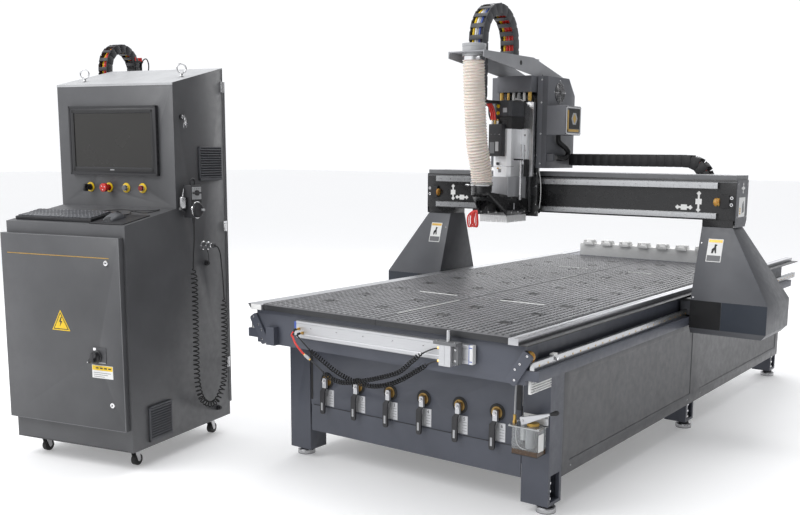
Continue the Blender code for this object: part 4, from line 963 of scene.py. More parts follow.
trim = Piece("frame_trim", "machine_base")
for side in (-1, 1):
    for arm_x, arm_z in ((0.724, 0.713), (0.693, 0.679), (0.672, 0.656), (0.67, 0.614)):
        trim.screw((side * arm_x, 0.0078, arm_z), (0, -1, 0), 0.0052, "chrome", 0.0026)
    bumper = [(0, 0), (0.017, 0), (0.021, 0.004), (0.0225, 0.008), (0.019, 0.012), (0.0225, 0.016),
              (0.021, 0.0215), (0.016, 0.025), (0, 0.025)]
    trim.lathe((side * 0.719, 0.0212, 0.706), (side * 0.719, 0.047, 0.706), bumper, "amber", 28)
    rail_side = side * 0.7484
    for k in range(52):
        spot = Vector((rail_side, 0.06 + 0.07 * k, 0.6725))
        trim.rod(spot - Vector((side * 0.0006, 0, 0)), spot + Vector((side * 0.0007, 0, 0)), 0.0038, "gold",
                 sides=10, edge=0.0002)
        top = Vector((side * 0.738, 0.06 + 0.07 * k, 0.6898))
        trim.rod(top, top + Vector((0, 0, 0.0006)), 0.0046, "soft_black", sides=12, edge=0.0002)
    for leg_y in (0.236, 1.815, 3.392):
        foot_x, foot_y = side * 0.668, leg_y + 0.065
        puck = [(0, 0), (0.04, 0), (0.043, 0.003), (0.043, 0.018), (0.0395, 0.024), (0.03, 0.0262),
                (0, 0.0262)]
        trim.lathe((foot_x, foot_y, 0.0), (foot_x, foot_y, 0.0262), puck, "steel", 40)
        trim.rod((foot_x, foot_y, 0.0255), (foot_x, foot_y, 0.043), 0.029, "dark_plate", 0.025, sides=32,
                 edge=0.002)
        trim.rod((foot_x, foot_y, 0.042), (foot_x, foot_y, 0.056), 0.0105, "steel", sides=20)
        bolt_x, bolt_y = side * 0.691, leg_y + 0.036
        trim.rod((bolt_x, bolt_y, 0.057), (bolt_x, bolt_y, 0.15), 0.0062, "steel", sides=16)
        for nut_z in (0.064, 0.096, 0.131):
            trim.rod((bolt_x, bolt_y, nut_z), (bolt_x, bolt_y, nut_z + 0.011), 0.0115, "chrome", sides=6)
    for hole_y in (0.43, 1.8, 2.0, 3.43):
        for hole_z in (0.175, 0.59):
            trim.screw((side * 0.7095, hole_y, hole_z), (side, 0, 0), 0.0045, "steel", 0.0022)
comb = [(0.7098, 0.555), (0.7098, 0.6145), (0.719, 0.6145)]
for fin in range(6):
    top = 0.6135 - 0.01 * fin
    comb += [(0.7265, top), (0.7265, top - 0.0048), (0.719, top - 0.0052), (0.719, top - 0.0098)]
trim.slab(comb[:-1] + [(0.719, 0.555)], "y", 0.05, 0.205, "white", 0.0004)
for cap_y in (0.047, 0.205):
    trim.box((0.7098, 0.72), (cap_y, cap_y + 0.003), (0.556, 0.614), "white", 0.0006)
for cap_screw_z in (0.568, 0.602):
    trim.screw((0.7265, 0.062, cap_screw_z), (1, 0, 0), 0.0038, "steel", 0.0018)
trim.box((0.73, 0.75), (0.174, 0.204), (0.6905, 0.699), "white", 0.0014)
trim.rod((0.75, 0.189, 0.678), (0.759, 0.189, 0.678), 0.007, "chrome", sides=18)
trim.box((-0.626, -0.575), (-0.012, 0.0195), (0.595, 0.68), "slate", 0.0016)
trim.done()

rack = Piece("tool_forks", "machine_base")
for fork in range(8):
    fork_x = -0.455 + 0.132 * fork
    jaw = [(-0.034, 2.942), (-0.022, 2.942), (-0.019, 2.962), (-0.012, 2.972), (0.012, 2.972),
           (0.019, 2.962), (0.022, 2.942), (0.034, 2.942), (0.036, 2.995), (0.024, 3.009), (-0.024, 3.009),
           (-0.036, 2.995)]
    rack.slab([(fork_x + x, y) for x, y in jaw], "z", 0.8765, 0.8905, "white", 0.0015)
    for bolt in (-0.02, 0.02):
        rack.screw((fork_x + bolt, 2.996, 0.8904), (0, 0, 1), 0.0042, "steel", 0.0014)
rack.done()

STRIP_LOW, STRIP_HIGH = (MACHINE.inverted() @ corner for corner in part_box("right_edge_strip"))
for side, strip_name in ((1, "right"), (-1, "left")):
    strip = Piece(f"{strip_name}_edge_profile", "machine_base")
    bar = [(0.6504, 0.7521), (0.6504, 0.7768), (0.6516, 0.778), (0.67, 0.778), (0.6704, 0.7772),
        (0.672, 0.7772), (0.6724, 0.778), (0.6938, 0.778), (0.695, 0.7768), (0.695, 0.7521)]
    # On the right, a near-black ledge and a thin near-black line beside the bar are painted shade for the
    # profile's shaded undercut side and the gap next to the bar; the left strip has its slanted side modelled
    # instead.
    undercut_shade = [(0.6958, 0.7521), (0.6958, 0.7568), (0.728, 0.7568), (0.728, 0.7521)]
    if side < 0:
        bar = [(0.6504, 0.7521), (0.6504, 0.7768), (0.6516, 0.778), (0.7338, 0.778), (0.735, 0.7764),
            (0.731, 0.77), (0.718, 0.756), (0.716, 0.7521)]
        undercut_shade = []
    strip.slab([(side * x, z) for x, z in bar], "y", STRIP_LOW.y, STRIP_HIGH.y, "aluminium", 0.0004)
    # Painted shade beside the right bar: the near-black ledge, its edge and the gap line.
    if undercut_shade:
        strip.slab([(x, z) for x, z in undercut_shade], "y", STRIP_LOW.y, STRIP_HIGH.y, "near_black", 0.0004)
        strip.box((0.7282, 0.735), (STRIP_LOW.y, STRIP_HIGH.y), (0.7521, 0.757), "near_black", 0.0006)
        strip.box((0.695, 0.6958), (STRIP_LOW.y + 0.001, STRIP_HIGH.y - 0.001),
            (0.753, 0.756), "near_black", 0)
    else:
        strip.box((-0.716, -0.652), (STRIP_LOW.y - 0.0006, STRIP_LOW.y + 0.001),
            (0.753, 0.777), "white", 0.0004)
    for k in range(18):
        spot = Vector((side * 0.684, 0.09 + 0.165 * k, 0.778))
        strip.rod(spot - Vector((0, 0, 0.0004)), spot + Vector((0, 0, 0.0005)), 0.005,
            "steel", sides=14, edge=0.0001)
    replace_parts(strip.done(weighted=False, slot="bare_aluminium"), f"{strip_name}_edge_strip")

# ---------------------------------------------------------------- cable chains


def chain(piece, path, across, width, thick, pitch, cables=(), paint="near_black"):
    """Links along a path: two side plates and a bar inside and outside each, with cables through."""
    path = [Vector(p) for p in path]
    across = Vector(across).normalized()
    count = max(2, round(length_of(path) / pitch))
    spots = evenly(path, count + 1)
    for start, end in zip(spots, spots[1:]):
        along = (end - start).normalized()
        up = along.cross(across).normalized()
        half = (end - start).length / 2
        place = Matrix.Translation((start + end) / 2) @ Matrix((
            (along.x, across.x, up.x, 0), (along.y, across.y, up.y, 0), (along.z, across.z, up.z, 0),
            (0, 0, 0, 1)))
        for side in (-1, 1):
            outer, inner = side * width / 2, side * (width / 2 - 0.0055)
            y = (min(outer, inner), max(outer, inner))
            piece.box((-half * 0.62, half * 1.12), y, (-thick / 2, thick / 2), paint, 0.0025, place)
            outer, inner = side * (width / 2 - 0.0018), side * (width / 2 - 0.007)
            y = (min(outer, inner), max(outer, inner))
            piece.box((-half * 1.12, half * 0.2), y, (-thick * 0.46, thick * 0.46), paint, 0.0025, place)
        for level in (-1, 1):
            far, near = level * thick / 2, level * (thick / 2 - 0.0045)
            z = (min(far, near), max(far, near))
            piece.box((-half * 0.42, half * 0.42),
                (-width / 2 + 0.005, width / 2 - 0.005), z, paint, 0.0014, place)
    fine = evenly(path, count * 3)
    for offset, lift, radius, cable_paint in cables:
        line = []
        for i, spot in enumerate(fine):
            along = (fine[min(i + 1, len(fine) - 1)] - fine[max(i - 1, 0)]).normalized()
            line.append(spot + across * offset + along.cross(across) * lift)
        piece.tube(line, radius, cable_paint, 10)


def evenly(path, count):
    """count points at even distances along a path."""
    total, spots, leg, walked = length_of(path), [], 0, 0.0
    for i in range(count):
        target = total * i / (count - 1)
        while leg < len(path) - 2 and walked + (path[leg + 1] - path[leg]).length < target:
            walked += (path[leg + 1] - path[leg]).length
            leg += 1
        span = path[leg + 1] - path[leg]
        spots.append(path[leg] + span * min(1.0, (target - walked) / span.length))
    return spots


def arc_points(centre, radius, first, last, steps):
    """Points on an arc, from one angle to another in degrees."""
    angles = [math.radians(first + (last - first) * k / steps) for k in range(steps + 1)]
    return [(centre[0] + radius * math.cos(a), centre[1] + radius * math.sin(a)) for a in angles]


# ---------------------------------------------------------------- gantry

HEAD_X = -0.278
gantry = Piece("gantry_trim", "gantry")
for rail_z in ((1.1526, 1.1824), (1.3026, 1.3354)):
    middle = sum(rail_z) / 2
    section = [(1.708, rail_z[0]), (1.684, rail_z[0]), (1.6826, rail_z[0] + 0.003),
        (1.6826, rail_z[1] - 0.003), (1.684, rail_z[1]), (1.708, rail_z[1])]
    gantry.slab(section, "x", -0.8654, 0.8484, "machined", 0.0006)
    for k in range(25):
        bolt_x = -0.83 + 0.069 * k
        gantry.lathe((bolt_x, 1.6827, middle), (bolt_x, 1.6822, middle),
                     [(0, 0), (0.005, 0), (0.005, 0.0004), (0.0028, 0.0005), (0, 0.0002)], "steel", 16)
cover = [(1.7086, 1.3396), (1.7086, 1.37), (1.71, 1.3714), (1.889, 1.3714), (1.8904, 1.37), (1.8904, 1.3396)]
gantry.slab(cover, "x", -0.9354, 0.9354, "panel_grey", 0.001)
for rib_y in (1.72, 1.876):
    gantry.box((-0.934, 0.934), (rib_y, rib_y + 0.004), (1.3712, 1.3722), "anodised", 0.0004)
gantry.box((-0.9382, 0.9382), (1.7036, 1.7052), (1.336, 1.34), "panel_grey", 0.0005)
gantry.box((-0.9384, 0.9384), (1.7034, 1.7052), (1.146, 1.15), "soft_black", 0.0005)
for side in (-1, 1):
    outline = [(1.704, 1.349), (1.882, 1.349), (1.882, 1.146), (1.86, 1.112), (1.706, 1.112),
               (1.704, 1.14)]
    low, high = sorted((side * 0.9384, side * 0.9418))
    gantry.slab(outline, "x", low, high, "charcoal", 0.001)
    for bolt_y, bolt_z in ((1.72, 1.33), (1.866, 1.33), (1.72, 1.165), (1.866, 1.165)):
        gantry.screw((side * 0.9418, bolt_y, bolt_z), (side, 0, 0), 0.0055, "steel", 0.0024)
    block_x = side * 0.885
    gantry.box((block_x - 0.024, block_x + 0.024), (1.689, 1.7048), (1.209, 1.274), "soft_black", 0.0025)
    for bolt_z in (1.226, 1.26):
        gantry.screw((side * 0.919, 1.7048, bolt_z), (0, -1, 0), 0.0105, "chrome", 0.01)
    inner = side * 0.861
    reach = 0.4 if side < 0 else 1.0
    bumper = [(0, 0), (0.017, 0), (0.0205, 0.005 * reach), (0.0185, 0.01 * reach), (0.021, 0.016 * reach),
              (0.019, 0.026 * reach), (0.012, 0.031 * reach), (0, 0.031 * reach)]
    gantry.lathe((inner, 1.696, 1.238), (inner - side * 0.032, 1.696, 1.238), bumper, "amber", 26)


def arrows(piece, x, z, y, arms, step=0.034, scale=1.0):
    """Travel arrows: a square with a diamond on each of the arms asked for."""
    piece.box((x - 0.016 * scale, x + 0.016 * scale), (y - 0.0006, y), (z - 0.014 * scale, z + 0.014 * scale),
              "white", 0)
    for dx, dz in arms:
        cx, cz = x + dx * step, z + dz * step
        reach = 0.0125 * scale
        diamond = [(cx - reach, cz), (cx, cz - reach), (cx + reach, cz), (cx, cz + reach)]
        piece.slab(diamond, "y", y - 0.0006, y, "white", 0)
        stem_x = sorted((x + dx * 0.01 * scale, cx)) if dx else (cx - 0.005 * scale, cx + 0.005 * scale)
        stem_z = sorted((z + dz * 0.01 * scale, cz)) if dz else (cz - 0.005 * scale, cz + 0.005 * scale)
        piece.box(stem_x, (y - 0.0007, y - 0.0001), stem_z, "white", 0)


for group_x, group_z, arms, step in (
    (0.748, 1.237, ((0, 1), (0, -1)), 0.042), (0.672, 1.206, ((1, 0), (-1, 0)), 0.034),
    (-0.755, 1.24, ((0, 1), (0, -1)), 0.036), (-0.692, 1.212, ((1, 0), (-1, 0)), 0.034),
):
    arrows(gantry, group_x, group_z, 1.7046, arms, step)
END_FACE = MACHINE @ Matrix.Translation((0.942, 0, 0)) @ Matrix.Rotation(math.radians(90), 4, "Z")
arrow_end = Piece("gantry_end_marks", "gantry", END_FACE)
arrows(arrow_end, 1.798, 1.308, 0.0, ((0, 1), (0, -1), (1, 0), (-1, 0)), 0.02, 0.62)
arrow_end.box((1.742, 1.838), (-0.0006, 0.0), (1.164, 1.262), "white", 0)
for bar in range(3):
    arrow_end.box((1.752, 1.77), (-0.0009, -0.0003), (1.178 + 0.012 * bar, 1.186 + 0.012 * bar), "gold", 0)
arrow_end.slab([(1.79, 1.18), (1.825, 1.19), (1.812, 1.246), (1.796, 1.23)], "y", -0.0009, -0.0003,
               "panel_grey", 0)
arrow_end.done()
gantry.done()

LEG_SLOPE = math.atan2(0.11, 0.3626)
for side, leg_name in ((1, "right"), (-1, "left")):
    slope_axes = MACHINE @ Matrix.Translation((0, 1.705, 1.1106)) @ Matrix.Rotation(-LEG_SLOPE, 4, "X")
    plate = Piece(f"{leg_name}_leg_plate", "gantry", slope_axes)
    middle = side * 0.856
    plate.box((middle - 0.038, middle + 0.038), (-0.0008, 0.0004), (-0.178, -0.06), "white", 0.0003)
    plate.box((middle - 0.0345, middle + 0.0345), (-0.0012, -0.0005), (-0.078, -0.064), "gold", 0.0002)
    plate.box((middle - 0.0345, middle + 0.0345), (-0.0012, -0.0005), (-0.1745, -0.145), "panel_grey", 0.0002)
    figure = [(-0.016, -0.134), (-0.006, -0.134), (-0.002, -0.116), (0.004, -0.134), (0.01, -0.132),
        (0.006, -0.098), (0.012, -0.09), (-0.002, -0.086), (-0.004, -0.104), (-0.014, -0.112)]
    plate.slab([(middle + x, z) for x, z in figure], "y", -0.0012, -0.0005, "soft_black", 0)
    plate.done()
    leg = Piece(f"{leg_name}_leg_trim", "gantry")
    # Painted shade: thin near-black and dark blue-grey sheets over each leg's lower front faces stand for the
    # shade those faces are in.
    low, high = sorted((side * 0.7716, side * 0.93))
    leg.box((low, high), (1.5942, 1.5949), (0.6054, 0.747), "deep_black", 0)
    low, high = sorted((side * 0.932, side * 1.155))
    leg.box((low, high), (1.5942, 1.5949), (0.6054, 0.747), "navy_painted_shade", 0)
    for bolt_z, bolt_y in ((1.03, 1.68), (0.76, 1.599)):
        leg.screw((side * 0.785, bolt_y, bolt_z), (0, -1, 0.3), 0.004, "steel", 0.003)
    low, high = sorted((side * 0.7, side * 0.7716))
    leg.box((low, high), (1.618, 1.72), (0.7352, 0.748), "soft_black", 0.002)
    leg.box((low, high), (1.855, 1.957), (0.7352, 0.748), "soft_black", 0.002)
    leg.done()

MOVING_CABLES = ((-0.022, 0.004, 0.0085, "soft_black"), (-0.004, -0.006, 0.006, "yellow"),
                 (0.01, 0.003, 0.0065, "red"), (0.024, -0.003, 0.006, "soft_black"))
TURN_X, CHAIN_TOP_Z, CHAIN_LOW_Z = 0.6, 1.4395, 1.2335
upper = [(-0.092, CHAIN_TOP_Z), (TURN_X, CHAIN_TOP_Z)] + arc_points((TURN_X, 1.3365), 0.103, 75, 0, 6)
lower = arc_points((TURN_X, 1.3365), 0.103, 0, -90, 6) + [(0.023, CHAIN_LOW_Z)]
head_chain = Piece("x_chain_upper", None)
chain(head_chain, [(x, 1.94, z) for x, z in upper], (0, 1, 0), 0.079, 0.066, 0.0475,
    MOVING_CABLES, "soft_black")
head_chain = head_chain.done(weighted=False)
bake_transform(head_chain)
beam_chain = Piece("x_chain_lower", None)
chain(beam_chain, [(x, 1.94, z) for x, z in lower], (0, 1, 0), 0.079, 0.066, 0.0475,
    MOVING_CABLES, "soft_black")
beam_chain = beam_chain.done(weighted=False)
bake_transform(beam_chain)
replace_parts(head_chain, "x_cable_chain")
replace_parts(beam_chain, "x_cable_chain")

# ---------------------------------------------------------------- head


def hx(*offsets):
    """Places in x, given as distances from the spindle's axis."""
    return tuple(HEAD_X + offset for offset in offsets)


def ribbed_hose(name, points, radius, pitch, depth, paint, sides=40):
    """A hose wound from one rib, as a closed tube whose radius rises and falls along it."""
    piece = Piece(name, None)
    steps = 8
    spots = evenly(points, round(length_of(points) / pitch * steps))
    bm = swept(spots, radius - depth, sides)
    bm.verts.ensure_lookup_table()
    for i, spot in enumerate(spots):
        for k in range(sides):
            vert = bm.verts[i * sides + k]
            wave = math.cos(2 * math.pi * (i / steps - k / sides))
            inward = (vert.co - spot).normalized()
            crease = 0.001 * math.sin(5 * 2 * math.pi * k / sides + i * 0.11)
            swell = radius - depth + depth * (0.5 + 0.5 * wave) ** 1.4
            vert.co = spot + inward * (swell + crease * 0.5 - 0.0005)
    piece.take(bm, paint)
    return piece.done(weighted=False, angle=180, slot="hose_film")


HOSE_ROUTE = [(HEAD_X, 1.165, 1.957), (HEAD_X, 1.165, 1.91), (HEAD_X, 1.171, 1.82),
    (HEAD_X - 0.004, 1.186, 1.72), (HEAD_X - 0.006, 1.203, 1.615), (HEAD_X - 0.004, 1.219, 1.5),
    (HEAD_X, 1.25, 1.393), (HEAD_X, 1.2605, 1.345), (HEAD_X, 1.262, 1.304)]
hose_line = smooth_route(HOSE_ROUTE, 160)
for hose_part, first, last, upper_body, lower_body in (
    ("upper", 0, 82, "head_carriage", "z_head"), ("lower", 80, 160, "z_head", "suction_hood"),
):
    part_line = hose_line[first:last]
    made = ribbed_hose(f"dust_hose_{hose_part}", part_line, 0.059, 0.015, 0.0052, "hose")
    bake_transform(made)
    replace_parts(made, "dust_hose")

bracket = Piece("hose_bracket_trim", "head_carriage")
bracket.lathe(
    (HEAD_X, 1.165, 1.958), (HEAD_X, 1.165, 2.0226),
    [(0.0535, 0.0), (0.0606, 0.0), (0.0612, 0.004), (0.0612, 0.021), (0.0606, 0.0235), (0.0606, 0.048),
     (0.0622, 0.05), (0.0622, 0.064), (0.06, 0.0646), (0.0535, 0.0646), (0.0535, 0.0)], "light_grey", 48)
band = [(0.0586, 0.0), (0.0602, 0.001), (0.0602, 0.019), (0.0586, 0.02), (0.057, 0.02), (0.057, 0.0),
        (0.0586, 0.0)]
bracket.lathe((HEAD_X, 1.165, 1.937), (HEAD_X, 1.165, 1.957), band, "chrome", 48)
bracket.box(hx(0.05, 0.068), (1.112, 1.132), (1.94, 1.954), "steel", 0.002)
for gusset in (-0.1084, 0.1084):
    bracket.rod((*hx(gusset), 1.46, 1.947), (*hx(gusset * 1.003), 1.46, 1.947), 0.0125,
        "soft_black", sides=24, edge=0.0001)
    for bolt_y in (1.7, 1.8, 1.9):
        bracket.screw((*hx(gusset), bolt_y, 1.899), (1 if gusset > 0 else -1, 0, 0), 0.004, "steel", 0.0018)
bracket.done()

clamp = Piece("hood_clamp", "suction_hood")
clamp.lathe((HEAD_X, 1.262, 1.301), (HEAD_X, 1.262, 1.319),
    [(0.0572, 0.0), (0.0604, 0.0008), (0.0612, 0.004), (0.0598, 0.009), (0.0612, 0.014),
    (0.06, 0.0175), (0.0572, 0.018), (0.0572, 0.0)], "glass", 48)
clamp.lathe((HEAD_X, 1.262, 1.299), (HEAD_X, 1.262, 1.304),
            [(0.054, 0.0), (0.0622, 0.0005), (0.0622, 0.0045), (0.054, 0.005), (0.054, 0.0)], "chrome", 48)
clamp.box(hx(-0.078, -0.056), (1.22, 1.234), (1.296, 1.306), "chrome", 0.002)
for hood_x in (-0.072, -0.025, 0.025, 0.072):
    clamp.screw((*hx(hood_x), 1.3762, 1.154), (0, -1, 0), 0.0042, "white", 0.002)
for hood_y in (1.42, 1.49, 1.56):
    clamp.screw((*hx(0.094), hood_y, 1.154), (1, 0, 0), 0.0042, "white", 0.002)
clamp.box(hx(0.0938, 0.0948), (1.44, 1.452), (1.17, 1.204), "light_grey", 0.0002)
sleeve_z = (1.2242, 1.3456)
sleeve = [hx(-0.0786)[0], hx(-0.04)[0], hx(0.0786)[0]]
clamp.slab([(sleeve[0], 1.5972), (sleeve[0], 1.438), (sleeve[1], 1.4044), (sleeve[2], 1.4044),
    (sleeve[2], 1.5972)], "z", *sleeve_z, "sleeve_alu", 0.0016)
clamp.done()

bristles = Piece("bristle_skirt", "suction_hood")
BRUSH_LOW, BRUSH_HIGH, CLUMP = 1.1006, 1.1396, 0.0031
low_x, high_x = hx(-0.0845, 0.0845)
low_y, high_y = 1.3855, 1.5945
edges = (((low_x, low_y), (high_x, low_y)), ((high_x, low_y), (high_x, high_y)),
         ((high_x, high_y), (low_x, high_y)), ((low_x, high_y), (low_x, low_y)))
spread = np.random.default_rng(7)
for edge_start, edge_end in edges:
    a, b = Vector((*edge_start, 0)), Vector((*edge_end, 0))
    for k in range(int((b - a).length / CLUMP)):
        foot = a + (b - a) * ((k + 0.5) * CLUMP / (b - a).length)
        lean = spread.normal(0, 0.0008, 2)
        drop = abs(spread.normal(0, 0.0012))
        tip = foot + Vector((lean[0], lean[1], BRUSH_LOW + drop))
        foot.z = BRUSH_HIGH
        bristles.tube([foot, (foot + tip) / 2 + Vector((lean[1], lean[0], 0)) / 3, tip],
            [0.0019, 0.0018, 0.0014], "bristle", 6)
bristles.box((low_x - 0.001, high_x + 0.001), (low_y - 0.001, low_y + 0.003),
    (1.134, 1.1397), "soft_black", 0.0004)
bristles.box((high_x - 0.003, high_x + 0.001), (low_y, high_y), (1.134, 1.1397), "soft_black", 0.0004)
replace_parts(bristles.done(weighted=False, slot="bristle"), "brush_skirt")

spindle = Piece("spindle", "z_head")
chamfered = [(-0.056, 1.599), (-0.056, 1.47), (-0.03, 1.45), (0.038, 1.45), (0.056, 1.466),
             (0.056, 1.599)]


def spindle_block(z, paint, grow=0.0, round_by=0.001):
    outline = []
    for x, y in chamfered:
        out = grow if abs(x) > 0.05 else 0.0
        outline.append((HEAD_X + x + math.copysign(out, x), y - (grow if y < 1.47 else 0.0)))
    spindle.slab(outline, "z", *z, paint, round_by)


spindle_block((1.29, 1.602), "light_alu", 0.0, 0.0014)
spindle_block((1.6025, 1.669), "soft_black", -0.0012)
spindle_block((1.6695, 1.753), "dark_plate", 0.0016, 0.003)
spindle.box(hx(0.01, 0.035), (1.4478, 1.4488), (1.689, 1.713), "sleeve_alu", 0.0002)
for fin_z in (1.618, 1.63, 1.642, 1.654):
    spindle.box(hx(-0.03, 0.038), (1.4492, 1.4506), (fin_z, fin_z + 0.004), "near_black", 0.0008)
for dot_z in (1.7223, 1.6858):
    spindle.rod((*hx(-0.02), 1.45, dot_z), (*hx(-0.02), 1.4468, dot_z), 0.01, "yellow", sides=28, edge=0.0008)
for side in (-1, 1):
    x = sorted((side * 0.056, side * 0.09))
    spindle.box(hx(*x), (1.576, 1.5994), (1.41, 1.605), "light_alu", 0.002)
    for bolt_z in (1.43, 1.4861, 1.5699):
        spindle.screw((*hx(side * 0.078), 1.576, bolt_z), (0, -1, 0), 0.0056, "steel", 0.0045)
spindle.box(hx(-0.012, 0.006), (1.4488, 1.4496), (1.368, 1.386), "steel", 0.0003)
spindle.box(hx(-0.0562, 0.0562), (1.4494, 1.499), (1.399, 1.401), "steel", 0.0005)
spindle.box(hx(-0.056, 0.027), (1.4125, 1.4545), (1.4545, 1.6265), "near_black", 0.0025)
spindle.box(hx(-0.048, -0.018), (1.4114, 1.4126), (1.47, 1.53), "panel_grey", 0.0004)
spindle.box(hx(-0.012, 0.008), (1.4114, 1.4126), (1.482, 1.532), "light_grey", 0.0004)
for cap_x in (-0.042, -0.015, 0.012):
    spindle.screw((*hx(cap_x), 1.4126, 1.572), (0, -1, 0), 0.0026, "chrome", 0.0012)
spindle.rod(hx(-0.013) + (1.448, 1.415), hx(-0.013) + (1.438, 1.415), 0.008, "near_black", sides=20)
spindle.rod(hx(-0.013) + (1.448, 1.39), hx(-0.013) + (1.44, 1.39), 0.0048, "brass", sides=16)
for fit_x, fit_paint in ((-0.046, "white"), (-0.028, "gold"), (-0.012, "white")):
    spindle.rod(hx(fit_x) + (1.433, 1.626), hx(fit_x) + (1.433, 1.644), 0.0064, fit_paint, sides=14)
    spindle.rod(hx(fit_x) + (1.433, 1.643), hx(fit_x) + (1.433, 1.654), 0.0044, "brass", sides=14)
spindle.box(hx(-0.08, -0.015), (1.312, 1.46), (1.7355, 1.7505), "soft_black", 0.002)
for tube_shift, top_z in ((0.0, 1.764), (0.012, 1.756), (-0.011, 1.772)):
    spindle.tube(
        smooth_route([hx(-0.04 + tube_shift) + (1.433, 1.65), hx(-0.038 + tube_shift) + (1.42, 1.69),
                      hx(-0.048 + tube_shift) + (1.41, 1.725), hx(-0.072 + tube_shift) + (1.408, 1.75),
                      hx(-0.105) + (1.418 + tube_shift, top_z)], 22), 0.005, "red", 12)
spindle.tube(
    smooth_route([hx(-0.056) + (1.433, 1.648), hx(-0.062) + (1.424, 1.68), hx(-0.064) + (1.42, 1.72),
                  hx(-0.09) + (1.424, 1.73)], 18), 0.0044, "soft_black", 10)
spindle.box(hx(0.0795, 0.096), (1.564, 1.599), (1.346, 1.439), "soft_black", 0.0025)
spindle.rod(hx(0.078) + (1.57, 1.44), hx(0.078) + (1.57, 1.518), 0.0042, "chrome", sides=18)
spindle.rod(hx(0.098) + (1.5, 1.436), hx(0.098) + (1.5, 1.519), 0.004, "chrome", sides=18)
spindle.rod(hx(0.098) + (1.5, 1.246), hx(0.098) + (1.5, 1.437), 0.0062, "chrome", sides=20)
spindle.rod(hx(0.098) + (1.5, 1.22), hx(0.098) + (1.5, 1.247), 0.009, "steel", sides=20)
spindle.box(hx(0.06, 0.108), (1.488, 1.512), (1.434, 1.442), "soft_black", 0.002)
spindle.rod((HEAD_X, 1.52, 1.29), (HEAD_X, 1.52, 1.205), 0.0448, "machined", sides=40)
spindle.done(slot="bright_steel")
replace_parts(bpy.data.objects["spindle"], "spindle_body")

terminals = Piece("plate_terminals", "z_head")
for post_x in (-0.089, 0.089):
    terminals.rod(hx(post_x) + (1.6, 1.756), hx(post_x) + (1.6, 1.804), 0.0108, "gold", sides=20)
for bit_x, bit_paint, bit_radius in ((-0.052, "brass", 0.009), (-0.018, "white", 0.0085),
        (0.014, "light_grey", 0.0095), (0.048, "white", 0.008)):
    terminals.rod(hx(bit_x) + (1.61, 1.756), hx(bit_x) + (1.61, 1.803), bit_radius, bit_paint, sides=18)
terminals.tube(circle(hx(0.03) + (1.585, 1.756), 0.024, (0, 0.35, 1), 30), 0.0032, "white", 10, True)
terminals.tube(circle(hx(0.026) + (1.587, 1.761), 0.02, (0.1, 0.3, 1), 30), 0.003, "light_grey", 10, True)
terminals.done()

housing = Piece("housing_trim", "head_carriage")
for strip_x, strip_paint in (((0.113, 0.144), "housing"), ((0.145, 0.1776), "charcoal")):
    housing.box(hx(*strip_x), (1.6392, 1.6476), (1.3926, 1.8896), strip_paint, 0.002)
for screw_z in (1.417, 1.5795, 1.7479, 1.87):
    housing.screw(hx(0.14) + (1.6392, screw_z), (0, -1, 0), 0.0044, "white", 0.002)
side_x = HEAD_X + 0.1772
FAN_Y, FAN_Z = 1.779, 1.806
housing.rod((side_x - 0.0006, FAN_Y, FAN_Z), (side_x + 0.002, FAN_Y, FAN_Z), 0.056,
    "deep_black", sides=40, edge=0.0002)
for ring_radius in (0.018, 0.027, 0.036, 0.045, 0.054):
    guard_ring = circle((side_x + 0.0035, FAN_Y, FAN_Z), ring_radius, (1, 0, 0), 40)
    housing.tube(guard_ring, 0.0009, "steel", 8, True)
housing.rod((side_x, FAN_Y, FAN_Z), (side_x + 0.005, FAN_Y, FAN_Z), 0.012, "soft_black", sides=24)
for spoke in range(4):
    angle = math.radians(90 * spoke)
    reach = Vector((0, math.cos(angle), math.sin(angle)))
    hub = Vector((side_x + 0.0045, FAN_Y, FAN_Z))
    housing.tube([hub + reach * 0.01, hub + reach * 0.04, hub + reach * 0.064], 0.0011, "steel", 8)
    housing.screw(Vector((side_x, FAN_Y, FAN_Z)) + reach * 0.066, (1, 0, 0), 0.0036, "chrome", 0.003)
BADGE_X = 0.0122
badge_y, badge_z = (1.644, 1.816), (1.577, 1.726)
housing.box((BADGE_X, BADGE_X + 0.002), badge_y, badge_z, "panel_grey", 0.0012)
for y, z in four_bars(badge_y, badge_z, 0.008, 0.008, 0.008):
    housing.box((BADGE_X, BADGE_X + 0.0042), y, z, "chrome", 0.0016)
for y, z in (
    ((badge_y[0] + 0.014, badge_y[0] + 0.027), (badge_z[0] + 0.014, badge_z[1] - 0.02)),
    ((badge_y[0] + 0.014, badge_y[1] - 0.024), (badge_z[0] + 0.014, badge_z[0] + 0.027)),
):
    housing.box((BADGE_X, BADGE_X + 0.0042), y, z, "gold", 0.0016)
housing.box((BADGE_X + 0.0012, BADGE_X + 0.0026), (badge_y[0] + 0.03, badge_y[1] - 0.012),
            (badge_z[0] + 0.03, badge_z[1] - 0.012), "soft_black", 0.0006)
emblem_y, emblem_z = sum(badge_y) / 2 + 0.01, sum(badge_z) / 2 + 0.01
turns = [math.radians(60 * k) for k in range(6)]
hexagon = [(emblem_y + 0.036 * math.cos(a), emblem_z + 0.036 * math.sin(a)) for a in turns]
housing.slab(hexagon, "x", BADGE_X + 0.0018, BADGE_X + 0.003, "light_grey", 0.0006)
diamond = [(emblem_y - 0.02, emblem_z), (emblem_y, emblem_z - 0.026), (emblem_y + 0.02, emblem_z),
           (emblem_y, emblem_z + 0.026)]
housing.slab(diamond, "x", BADGE_X + 0.0028, BADGE_X + 0.0042, "gold", 0.0006)
for corner_y in (badge_y[0] + 0.006, badge_y[1] - 0.006):
    for corner_z in (badge_z[0] + 0.006, badge_z[1] - 0.006):
        housing.screw((BADGE_X + 0.0042, corner_y, corner_z), (1, 0, 0), 0.0034, "chrome", 0.0016)
